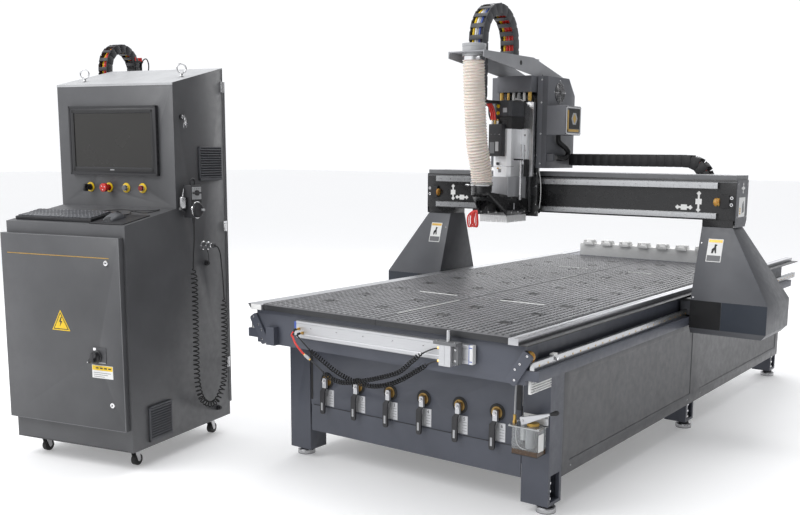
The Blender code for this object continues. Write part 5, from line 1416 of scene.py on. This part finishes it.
conduit = evenly(smooth_route(
    [(-0.08, 1.739, 1.5745), (-0.08, 1.745, 1.538), (-0.08, 1.79, 1.518), (-0.08, 1.84, 1.5),
     (-0.08, 1.864, 1.476), (-0.08, 1.844, 1.452), (-0.08, 1.795, 1.446), (-0.08, 1.747, 1.447),
     (-0.08, 1.69, 1.45)], 120), 260)
housing.tube(conduit, [0.0132 + 0.0014 * (k % 4 < 2) for k in range(260)], "deep_black", 14)
housing.rod((-0.08, 1.704, 1.45), (-0.08, 1.668, 1.45), 0.0175, "deep_black", sides=8)
housing.box((-0.1012, -0.062), (1.648, 1.67), (1.43, 1.47), "charcoal", 0.002)
housing.tube(
    smooth_route([(-0.15, 1.656, 1.4), (-0.145, 1.648, 1.37), (-0.134, 1.645, 1.33), (-0.13, 1.645, 1.27),
                  (-0.131, 1.645, 1.22), (-0.14, 1.65, 1.17)], 30), 0.0026, "white", 10)
for plate_x in (-0.118, 0.118):
    for screw_z in (1.145, 1.19, 1.29, 1.36, 1.46):
        housing.screw(hx(plate_x) + (1.64, screw_z), (0, -1, 0), 0.0044, "chrome", 0.002)
for lead_x in (-0.07, 0.074):
    housing.box(hx(lead_x - 0.01, lead_x + 0.01), (1.6256, 1.6402), (1.149, 1.781), "machined", 0.001)
for loop in range(7):
    shift = 0.0075 * (loop - 3) + 0.003 * math.sin(5 * loop)
    loop_line = [
        (-0.51, 1.59, 1.15), (-0.52 + shift, 1.58, 1.125), (-0.51 + shift, 1.57, 1.075 - shift / 2),
        (-0.52 + shift, 1.566, 1.052), (-0.538 + shift, 1.57, 1.07 + shift / 2),
        (-0.544 + shift, 1.58, 1.115), (-0.524, 1.59, 1.15),
    ]
    housing.tube(smooth_route(loop_line, 30), 0.0029, "red", 10)
housing.box((-0.54, -0.404), (1.586, 1.594), (1.144, 1.156), "deep_black", 0.002)
housing.box((-0.406, -0.396), (1.586, 1.642), (1.144, 1.156), "deep_black", 0.002)
housing.done()

HEAD_CABLES = ((-0.027, -0.01, 0.0062, "yellow"), (-0.012, -0.01, 0.0058, "white"),
    (0.001, -0.01, 0.0052, "light_grey"), (0.012, -0.01, 0.005, "blue"),
    (0.026, -0.01, 0.0062, "soft_black"), (-0.026, 0.01, 0.007, "yellow"), (-0.009, 0.01, 0.0072, "red"),
    (0.009, 0.01, 0.0074, "red"), (0.026, 0.01, 0.0072, "red"))
front_y, crown_z, arc_radius = 1.2835, 2.073, 0.161
z_path = [(front_y, 1.753), (front_y, crown_z)] + arc_points(
    (front_y + arc_radius, crown_z), arc_radius, 162, 18, 6)
z_path += [(front_y + 2 * arc_radius, crown_z), (front_y + 2 * arc_radius, 1.985)]
z_chain = Piece("z_chain", None)
chain(z_chain, [(HEAD_X - 0.049, y, z) for y, z in z_path], (1, 0, 0), 0.089, 0.0555, 0.056,
    HEAD_CABLES, "chain_grey")
z_chain = z_chain.done(weighted=False)
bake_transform(z_chain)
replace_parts(z_chain, "z_cable_chain")

# ---------------------------------------------------------------- control cabinet

ROOF_SLOPE = math.atan2(0.097, 0.397)
CAB_WIDE, FACE_Y = 0.696, 0.364
BUTTON_Z = 1.287
WHEEL_Y, WHEEL_Z = 0.4315, 1.188
case = Piece("cabinet_trim", "machine_base", CABINET)


def roof_z(y):
    return 1.779 + (y - FACE_Y) * math.tan(ROOF_SLOPE)


roof = [(FACE_Y - 0.0012, roof_z(FACE_Y) - 0.01), (FACE_Y - 0.0012, roof_z(FACE_Y) + 0.0008),
        (0.76, roof_z(0.76) + 0.0008), (0.76, roof_z(0.76) - 0.0002), (FACE_Y, roof_z(FACE_Y) - 0.0002),
        (FACE_Y - 0.0002, roof_z(FACE_Y) - 0.01)]
case.slab(roof, "x", -0.0008, CAB_WIDE + 0.0008, "light_grey", 0.0003)
for eye_x, eye_y, facing in ((0.108, 0.44, 0.55), (0.632, 0.52, 1.0)):
    foot = Vector((eye_x, eye_y, roof_z(eye_y)))
    case.lathe(foot, foot + Vector((0, 0, 0.02)), [(0, 0), (0.013, 0), (0.013, 0.004), (0.009, 0.006),
        (0.007, 0.014), (0.0085, 0.02), (0, 0.02)], "chrome", 24)
    across = (math.sin(facing) * 0.6, -math.cos(facing), 0)
    case.tube(circle(foot + Vector((0, 0, 0.04)), 0.0215, across, 32), 0.0045, "chrome", 12, True)
MONITOR_X, MONITOR_Z = (0.08, 0.608), (1.347, 1.676)
for inset, depth, tall, paint in ((0.0, 0.3444, 0.01, "near_black"), (0.02, 0.3452, 0.012, "soft_black")):
    x = (MONITOR_X[0] + inset, MONITOR_X[1] - inset)
    z = (MONITOR_Z[0] + inset * 0.9, MONITOR_Z[1] - inset)
    for bar_x, bar_z in four_bars(x, z, tall, tall, tall):
        case.box(bar_x, (depth, 0.3466), bar_z, paint, 0.0012)
case.box((0.1125, 0.5755), (0.3488, 0.3498), (1.3855, 1.6405), "screen", 0)
case.box((0.327, 0.352), (0.3445, 0.3452), (1.37, 1.3745), "light_grey", 0.0003)
# Painted shade: flat dark strips on the monitor's right side stand for the shade inside its vent slots.
for slot_k in range(9):
    case.box((0.6075, 0.6083), (0.35, 0.36),
        (1.4 + 0.028 * slot_k, 1.414 + 0.028 * slot_k), "soft_black", 0.0002)
for button_x in (0.185, 0.3, 0.405, 0.503):
    case.lathe((button_x, FACE_Y, BUTTON_Z), (button_x, FACE_Y - 0.006, BUTTON_Z),
               [(0.015, 0), (0.0232, 0), (0.0238, 0.001), (0.0228, 0.003), (0.0158, 0.004), (0.015, 0.004),
                (0.015, 0)], "yellow", 40)
for button_x, bezel_paint in ((0.405, "chrome"), (0.503, "chrome"), (0.185, "near_black")):
    case.lathe((button_x, FACE_Y - 0.003, BUTTON_Z), (button_x, FACE_Y - 0.018, BUTTON_Z),
               [(0.0134, 0), (0.0152, 0), (0.0152, 0.008), (0.0142, 0.01), (0.0134, 0.01), (0.0134, 0)],
               bezel_paint, 36)
LOCK_AT = Vector((CAB_WIDE, 0.419, 1.624))
case.rod(LOCK_AT, LOCK_AT + Vector((0.008, 0, 0)), 0.013, "near_black", sides=26)
case.rod(LOCK_AT + Vector((0.0078, 0, 0)), LOCK_AT + Vector((0.014, 0, 0)), 0.0085, "chrome", sides=24)
case.box((CAB_WIDE + 0.013, CAB_WIDE + 0.023), (0.418, 0.42), (1.615, 1.633), "chrome", 0.0006)
case.tube(circle(LOCK_AT + Vector((0.021, 0.006, -0.016)), 0.011, (1, 0.3, 0), 24), 0.0012, "chrome", 8, True)
case.tube(circle(LOCK_AT + Vector((0.022, 0.002, -0.024)), 0.016, (1, 0.5, 0), 24), 0.0011, "chrome", 8, True)
case.slab([(0.41, 1.596), (0.421, 1.597), (0.417, 1.584), (0.415, 1.572), (0.411, 1.572), (0.41, 1.584)], "x",
          CAB_WIDE + 0.02, CAB_WIDE + 0.0215, "chrome", 0.0003)
case.slab([(0.429, 1.599), (0.44, 1.595), (0.435, 1.584), (0.43, 1.574), (0.426, 1.576), (0.428, 1.586)], "x",
          CAB_WIDE + 0.022, CAB_WIDE + 0.0235, "chrome", 0.0003)


def louvre(y, z, slats):
    """A moulded filter grille: a frame with slats that slope outward."""
    base = CAB_WIDE
    case.box((base, base + 0.004), y, z, "near_black", 0.002)
    for bar_y, bar_z in four_bars(y, z, 0.012, 0.007, 0.007):
        case.box((base + 0.003, base + 0.011), bar_y, bar_z, "charcoal", 0.0015)
    gap = (z[1] - z[0] - 0.019) / slats
    for k in range(slats):
        low = z[0] + 0.012 + gap * (k + 0.15)
        section = [(base + 0.003, low + gap * 0.62), (base + 0.0034, low + gap * 0.8),
            (base + 0.0132, low + gap * 0.28), (base + 0.0132, low), (base + 0.0118, low)]
        case.slab(section, "y", y[0] + 0.006, y[1] - 0.006, "charcoal", 0.0004)


louvre((0.543, 0.727), (1.324, 1.488), 12)
louvre((0.11, 0.274), (0.118, 0.286), 12)
for hinge_low in (1.758, 1.062, 0.352):
    case.box((CAB_WIDE - 0.002, CAB_WIDE + 0.0034), (0.74, 0.757),
        (hinge_low, hinge_low + 0.052), "chrome", 0.001)
    case.rod((CAB_WIDE + 0.004, 0.759, hinge_low), (CAB_WIDE + 0.004, 0.759, hinge_low + 0.052),
        0.0042, "chrome", sides=18)
    for pin in (0.012, 0.04):
        case.screw((CAB_WIDE + 0.0034, 0.748, hinge_low + pin), (1, 0, 0), 0.0034, "steel", 0.001)
for gland_y, gland_z in ((0.583, 0.915), (0.652, 0.155)):
    case.rod((CAB_WIDE, gland_y, gland_z), (CAB_WIDE + 0.012, gland_y, gland_z), 0.014, "near_black", sides=8)
    case.rod((CAB_WIDE + 0.011, gland_y, gland_z), (CAB_WIDE + 0.022, gland_y, gland_z), 0.0095,
        "soft_black", sides=24, edge=0.003)
case.tube(smooth_route([(CAB_WIDE + 0.02, 0.583, 0.924), (CAB_WIDE + 0.024, 0.576, 0.95),
    (CAB_WIDE + 0.025, 0.568, 0.975), (CAB_WIDE + 0.022, 0.561, 0.99)], 14), 0.0014, "soft_black", 8)
PLUG_Y, PLUG_Z = 0.559, 1.0055
plug = [(0.0126, 0), (0.0215, 0), (0.0215, 0.006), (0.0185, 0.008), (0.018, 0.02), (0.02, 0.022),
    (0.02, 0.034), (0.0165, 0.036), (0.0155, 0.056), (0.0135, 0.06), (0.0126, 0.06), (0.0126, 0)]
case.lathe((CAB_WIDE, PLUG_Y, PLUG_Z), (CAB_WIDE + 0.06, PLUG_Y, PLUG_Z), plug, "chrome", 32)
case.rod((CAB_WIDE + 0.0585, PLUG_Y, PLUG_Z), (0.7724, PLUG_Y, PLUG_Z), 0.0128, "near_black", 0.006, sides=20)
for seam_x in (-0.0008, CAB_WIDE - 0.001):
    case.box((seam_x, seam_x + 0.0018), (0.755, 0.7572), (0.17, 1.87), "near_black", 0.0002)
case.box((0.03, 0.666), (-0.0006, 0.0002), (0.098, 0.1), "near_black", 0.0002)
case.done()

shut = Piece("front_door_trim", "front_door_leaf", CABINET)
DOOR_Y = -0.03
shut.box((0.027, 0.627), (DOOR_Y - 0.0006, DOOR_Y + 0.0002), (0.9886, 0.9926), "amber", 0.0001)
triangle = [(0.331, 0.74), (0.279, 0.644), (0.386, 0.644)]
middle_x, middle_z = 0.332, 0.676


def shrunk(outline, factor):
    return [(middle_x + (x - middle_x) * factor, middle_z + (z - middle_z) * factor) for x, z in outline]


shut.slab(triangle, "y", DOOR_Y - 0.0007, DOOR_Y + 0.0002, "yellow", 0.0002)
shut.slab(shrunk(triangle, 0.84), "y", DOOR_Y - 0.001, DOOR_Y - 0.0005, "near_black", 0.0001)
shut.slab(shrunk(triangle, 0.72), "y", DOOR_Y - 0.0013, DOOR_Y - 0.0008, "yellow", 0.0001)
bolt = [(0.334, 0.708), (0.322, 0.684), (0.331, 0.684), (0.325, 0.66), (0.341, 0.688), (0.332, 0.688),
        (0.34, 0.708)]
shut.slab(bolt, "y", DOOR_Y - 0.0016, DOOR_Y - 0.0011, "near_black", 0.0001)
for lock_x, lock_z in ((0.611, 0.969), (0.6155, 0.3195)):
    shut.lathe((lock_x, DOOR_Y, lock_z), (lock_x, DOOR_Y - 0.008, lock_z),
        [(0, 0), (0.0125, 0), (0.013, 0.0015), (0.0115, 0.005), (0.007, 0.0056), (0.006, 0.003),
        (0, 0.003)], "chrome", 32)
    shut.slab([(lock_x - 0.004, lock_z - 0.003), (lock_x + 0.004, lock_z - 0.003),
        (lock_x, lock_z + 0.0045)], "y", DOOR_Y - 0.0036, DOOR_Y - 0.0028, "soft_black", 0)
shut.box((0.512, 0.59), (DOOR_Y - 0.003, DOOR_Y), (0.508, 0.583), "side", 0.002)
shut.box((0.518, 0.533), (DOOR_Y - 0.0036, DOOR_Y - 0.0028), (0.567, 0.58), "chrome", 0.0005)
shut.box((0.545, 0.586), (DOOR_Y - 0.0034, DOOR_Y - 0.0028), (0.5105, 0.515), "light_grey", 0.0003)
shut.box((0.504, 0.624), (DOOR_Y - 0.0006, DOOR_Y + 0.0002), (0.44, 0.5), "white", 0.0002)
shut.box((0.506, 0.622), (DOOR_Y - 0.001, DOOR_Y - 0.0004), (0.476, 0.498), "yellow", 0.0002)
for mark in range(4):
    shut.box((0.526 + 0.024 * mark, 0.542 + 0.024 * mark), (DOOR_Y - 0.0013, DOOR_Y - 0.0008),
        (0.484, 0.49), "soft_black", 0)
for line in range(3):
    shut.box((0.512, 0.612 - 0.018 * line), (DOOR_Y - 0.0009, DOOR_Y - 0.0004),
        (0.464 - 0.009 * line, 0.4662 - 0.009 * line), "panel_grey", 0)
rim_x, rim_z, lip = (-0.01, 0.684), (0.2, 1.083), 0.003
for bar_x, bar_z in ((rim_x, (rim_z[1] - lip, rim_z[1] + 0.0004)),
        ((rim_x[1] - lip, rim_x[1] + 0.0004), rim_z), ((rim_x[0] - 0.0004, rim_x[0] + lip), rim_z),
        (rim_x, (rim_z[0] - 0.0004, rim_z[0] + lip))):
    shut.box(bar_x, (DOOR_Y - 0.0004, DOOR_Y + 0.004), bar_z, "panel_grey", 0.0012)
shut.done()

knob = Piece("isolator_trim", "isolator_knob", CABINET)
knob.lathe((0.537, -0.034, 0.54), (0.537, -0.052, 0.54),
           [(0, 0), (0.03, 0), (0.03, 0.004), (0.0262, 0.007), (0.025, 0.016), (0.023, 0.017), (0, 0.017)],
           "near_black", 36)
grip = [(-0.022, -0.03), (-0.031, -0.025), (-0.026, -0.012), (0.008, 0.024), (0.02, 0.022), (0.022, 0.008)]
knob.slab([(0.537 + x, 0.54 + z) for x, z in grip], "y", -0.065, -0.05, "near_black", 0.0035, steps=3)
knob.box((0.508, 0.512), (-0.0656, -0.0648), (0.515, 0.52), "white", 0.0003)
knob.done()

switch = Piece("selector_trim", "selector_knob", CABINET)
switch.lathe((0.185, 0.34, BUTTON_Z), (0.185, 0.328, BUTTON_Z),
             [(0, 0), (0.0142, 0), (0.0145, 0.003), (0.013, 0.01), (0, 0.011)], "near_black", 30)
switch.box((0.18, 0.19), (0.3155, 0.33), (1.27, 1.304), "near_black", 0.0025,
    Matrix.Translation((0.185, 0, BUTTON_Z)) @ Matrix.Rotation(math.radians(18), 4, "Y")
    @ Matrix.Translation((-0.185, 0, -BUTTON_Z)))
switch.done()
mushroom = Piece("emergency_head", "emergency_button", CABINET)
mushroom.lathe((0.3, 0.34, BUTTON_Z), (0.3, 0.315, BUTTON_Z), [(0, 0), (0.017, 0), (0.0203, 0.004),
    (0.0203, 0.01), (0.018, 0.017), (0.012, 0.0212), (0.006, 0.0222), (0, 0.0224)], "red", 40)
for turn in range(3):
    angle = math.radians(120 * turn + 20)
    mid = Vector((0.3 + 0.0105 * math.cos(angle), 0.319, BUTTON_Z + 0.0105 * math.sin(angle)))
    mushroom.rod(mid, mid + Vector((0, -0.0012, 0)), 0.0028, "white", sides=12, edge=0.0003)
mushroom.done()
for plunger, plunger_x, cap_paint in (("start_plunger", 0.405, "panel_grey"),
        ("stop_plunger", 0.503, "dark_red")):
    cap = Piece(f"{plunger}_cap", plunger, CABINET)
    cap.lathe((plunger_x, 0.35, BUTTON_Z), (plunger_x, 0.344, BUTTON_Z),
        [(0, 0), (0.0128, 0), (0.013, 0.002), (0.0122, 0.0056), (0.008, 0.0064),
        (0, 0.005)], cap_paint, 32)
    cap.done()

keys = Piece("keyboard_keys", "machine_base", DESK)
for row in range(6):
    key_y = 0.04 + 0.0232 * row
    key_x = 0.038
    wides = [1.0] * 20 if row else [1.3, 1.3, 1.3, 5.2, 1.3, 1.3, 1.3, 1.3, 1.0, 1.0, 1.0, 2.0, 1.0]
    unit = (0.474 - 0.038) / sum(wides)
    for wide in wides:
        far = key_x + unit * wide
        keys.slab([(key_x + 0.0014, key_y), (far - 0.0014, key_y),
            (far - 0.0014, key_y + 0.019), (key_x + 0.0014, key_y + 0.019)], "z", 0.015,
            0.0205 + 0.0006 * abs(row - 2), "charcoal", 0.0014)
        keys.box((key_x + unit * 0.3, key_x + unit * 0.55), (key_y + 0.0085, key_y + 0.0125),
            (0.0204, 0.0208 + 0.0006 * abs(row - 2)), "light_grey", 0)
        key_x = far
keys.box((0.03, 0.482), (0.03, 0.185), (0.0138, 0.0158), "near_black", 0.003)
for lamp in range(3):
    keys.box((0.4 + 0.022 * lamp, 0.406 + 0.022 * lamp), (0.179, 0.182), (0.0156, 0.0161), "light_grey", 0)
keys.done()
rodent = Piece("mouse_shell", "machine_base", DESK)
stations = ((0.043, 0.014, 0.008), (0.052, 0.029, 0.02), (0.07, 0.0325, 0.029), (0.092, 0.0318, 0.035),
    (0.115, 0.0305, 0.0345), (0.135, 0.028, 0.026), (0.145, 0.018, 0.014))
shell = bmesh.new()
loops = []
for along_y, half_wide, tall in stations:
    ring = []
    for k in range(17):
        a = math.pi * k / 16
        ring.append(shell.verts.new((0.56 - half_wide * math.cos(a), along_y,
            0.0045 + (tall - 0.0045) * math.sin(a) ** 0.75)))
    loops.append(ring)
for a_ring, b_ring in zip(loops, loops[1:]):
    for k in range(16):
        shell.faces.new((a_ring[k], a_ring[k + 1], b_ring[k + 1], b_ring[k]))
    shell.faces.new((a_ring[0], b_ring[0], b_ring[16], a_ring[16]))
shell.faces.new(loops[0])
shell.faces.new(loops[-1][::-1])
bmesh.ops.recalc_face_normals(shell, faces=shell.faces)
rodent.take(shell, "charcoal")
rodent.box((0.557, 0.563), (0.112, 0.13), (0.03, 0.0372), "near_black", 0.002)
rodent.box((0.487, 0.677), (0.011, 0.201), (0.0008, 0.0044), "near_black", 0.0012)
rodent.done()

hand = Piece("pendant_trim", "machine_base", CABINET)
hand.box((0.7185, 0.763), (0.3924, 0.4796), (1.1514, 1.3066), "near_black", 0.007, steps=3)
hand.box((0.7628, 0.764), (0.399, 0.47), (1.238, 1.297), "light_grey", 0.0008)
hand.rod((0.763, 0.432, 1.269), (0.774, 0.432, 1.269), 0.013, "near_black", sides=28)
hand.box((0.764, 0.776), (0.4, 0.46), (1.265, 1.273), "near_black", 0.0015)
for tick in range(5):
    hand.box((0.7639, 0.7643), (0.404 + 0.014 * tick, 0.406 + 0.014 * tick), (1.286, 1.292), "soft_black", 0)
hand.lathe((0.7628, WHEEL_Y, WHEEL_Z), (0.77, WHEEL_Y, WHEEL_Z), [(0.036, 0), (0.04, 0), (0.04, 0.004),
    (0.0385, 0.0052), (0.0372, 0.0052), (0.036, 0)], "chrome", 44)
hand.tube(smooth_route([(0.74, 0.42, 1.306), (0.74, 0.418, 1.323), (0.74, 0.428, 1.333), (0.74, 0.444, 1.333),
                        (0.74, 0.452, 1.323), (0.74, 0.45, 1.306)], 24), 0.0042, "near_black", 12)
hand.rod((0.7415, 0.437, 1.152), (0.7415, 0.437, 1.118), 0.0085, "near_black", 0.0052, sides=20)
bell = Vector((0.725, 0.38, 1.25))
hand.lathe(bell, bell + Vector((0, 0, -0.052)),
           [(0, 0), (0.013, 0), (0.016, 0.004), (0.016, 0.048), (0.014, 0.052), (0, 0.052)], "steel", 24)
hand.tube(smooth_route([(0.725, 0.38, 1.25), (0.727, 0.376, 1.262), (0.726, 0.383, 1.276),
    (0.724, 0.388, 1.288)], 16), 0.003, "chrome", 8)
hand.rod((0.718, 0.37, 1.198), (0.718, 0.4, 1.178), 0.011, "near_black", sides=16)
hand.done()
dial = Piece("hand_wheel_dial", "hand_wheel", CABINET)
for notch in range(32):
    angle = 2 * math.pi * notch / 32
    spot = Vector((0.764, WHEEL_Y + 0.0348 * math.cos(angle), WHEEL_Z + 0.0348 * math.sin(angle)))
    dial.rod(spot, spot + Vector((0.011, 0, 0)), 0.0018, "near_black", sides=8)
dial.lathe((0.7632, WHEEL_Y, WHEEL_Z), (0.779, WHEEL_Y, WHEEL_Z), [(0, 0), (0.0362, 0), (0.0362, 0.012),
    (0.034, 0.014), (0.027, 0.0146), (0.025, 0.0134), (0, 0.0134)], "near_black", 44)
dial.done()

for number, (caster_x, caster_y) in enumerate(
    ((0.075, 0.09), (0.075, 0.68), (0.621, 0.09), (0.621, 0.68)), start=1
):
    hub = Piece(f"caster_hub_{number}", f"caster_roller_{number}", CABINET)
    for out in (-1, 1):
        face = Vector((caster_x + out * 0.0088, caster_y + 0.018, 0.0275))
        hub.lathe(face, face + Vector((out * 0.003, 0, 0)), [(0, 0), (0.0172, 0), (0.0172, 0.001),
            (0.014, 0.0022), (0.007, 0.0014), (0.006, 0.0026), (0, 0.0026)], "light_grey", 28)
    hub.done()
    fork = Piece(f"caster_head_{number}", f"caster_swivel_{number}", CABINET)
    fork.lathe((caster_x, caster_y, 0.07), (caster_x, caster_y, 0.092),
        [(0, 0), (0.02, 0), (0.0225, 0.004), (0.0225, 0.008), (0.018, 0.012),
        (0.018, 0.02), (0, 0.02)], "steel", 28)
    fork.done()

back_chain = Piece("cabinet_chain_links", "machine_base", CABINET)
FRONT_STRAND, CHAIN_ARC, CHAIN_CROWN = 0.815, 0.115, 1.9
cable_path = [(FRONT_STRAND, 1.604), (FRONT_STRAND, CHAIN_CROWN)]
cable_path += arc_points((FRONT_STRAND + CHAIN_ARC, CHAIN_CROWN), CHAIN_ARC, 165, 15, 9)
cable_path += [(FRONT_STRAND + 2 * CHAIN_ARC, CHAIN_CROWN), (FRONT_STRAND + 2 * CHAIN_ARC, 1.794)]
chain(back_chain, [(-0.091, y, z) for y, z in cable_path], (1, 0, 0), 0.059, 0.046, 0.044,
    ((-0.014, 0.003, 0.007, "yellow"), (0.0, 0.0, 0.0085, "red"),
    (0.014, 0.002, 0.0075, "red")), "near_black")
for strap in range(12):
    strap_x, strap_y = -0.115 + 0.01 * (strap % 6), 1.024 + 0.05 * (strap // 6)
    back_chain.tube(smooth_route([(strap_x, strap_y, 1.796), (strap_x, strap_y, 1.9),
        (strap_x, strap_y, 1.962)], 8), 0.0056, "deep_black", 12)
    back_chain.rod((strap_x, strap_y, 1.956), (strap_x, strap_y, 1.978), 0.0066, "red", sides=12)
back_chain.box((-0.12, -0.06), (1.016, 1.088), (1.95, 1.96), "deep_black", 0.002)
back_chain.box((-0.116, -0.01), (0.65, 0.8), (1.6396, 1.6484), "side", 0.0015)
back_chain.box((-0.014, -0.0003), (0.65, 0.75), (1.61, 1.68), "side", 0.0015)
back_chain.box((-0.111, -0.071), (0.838, 1.022), (1.7996, 1.8124), "side", 0.0015)
back_chain.tube(smooth_route([(-0.064, 1.06, 1.9), (-0.06, 1.082, 1.96), (-0.06, 1.115, 1.975),
    (-0.062, 1.135, 1.945), (-0.064, 1.128, 1.9), (-0.065, 1.095, 1.88), (-0.065, 1.066, 1.9)],
    30), 0.0034, "soft_black", 10)
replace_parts(back_chain.done(weighted=False), "cabinet_chain")
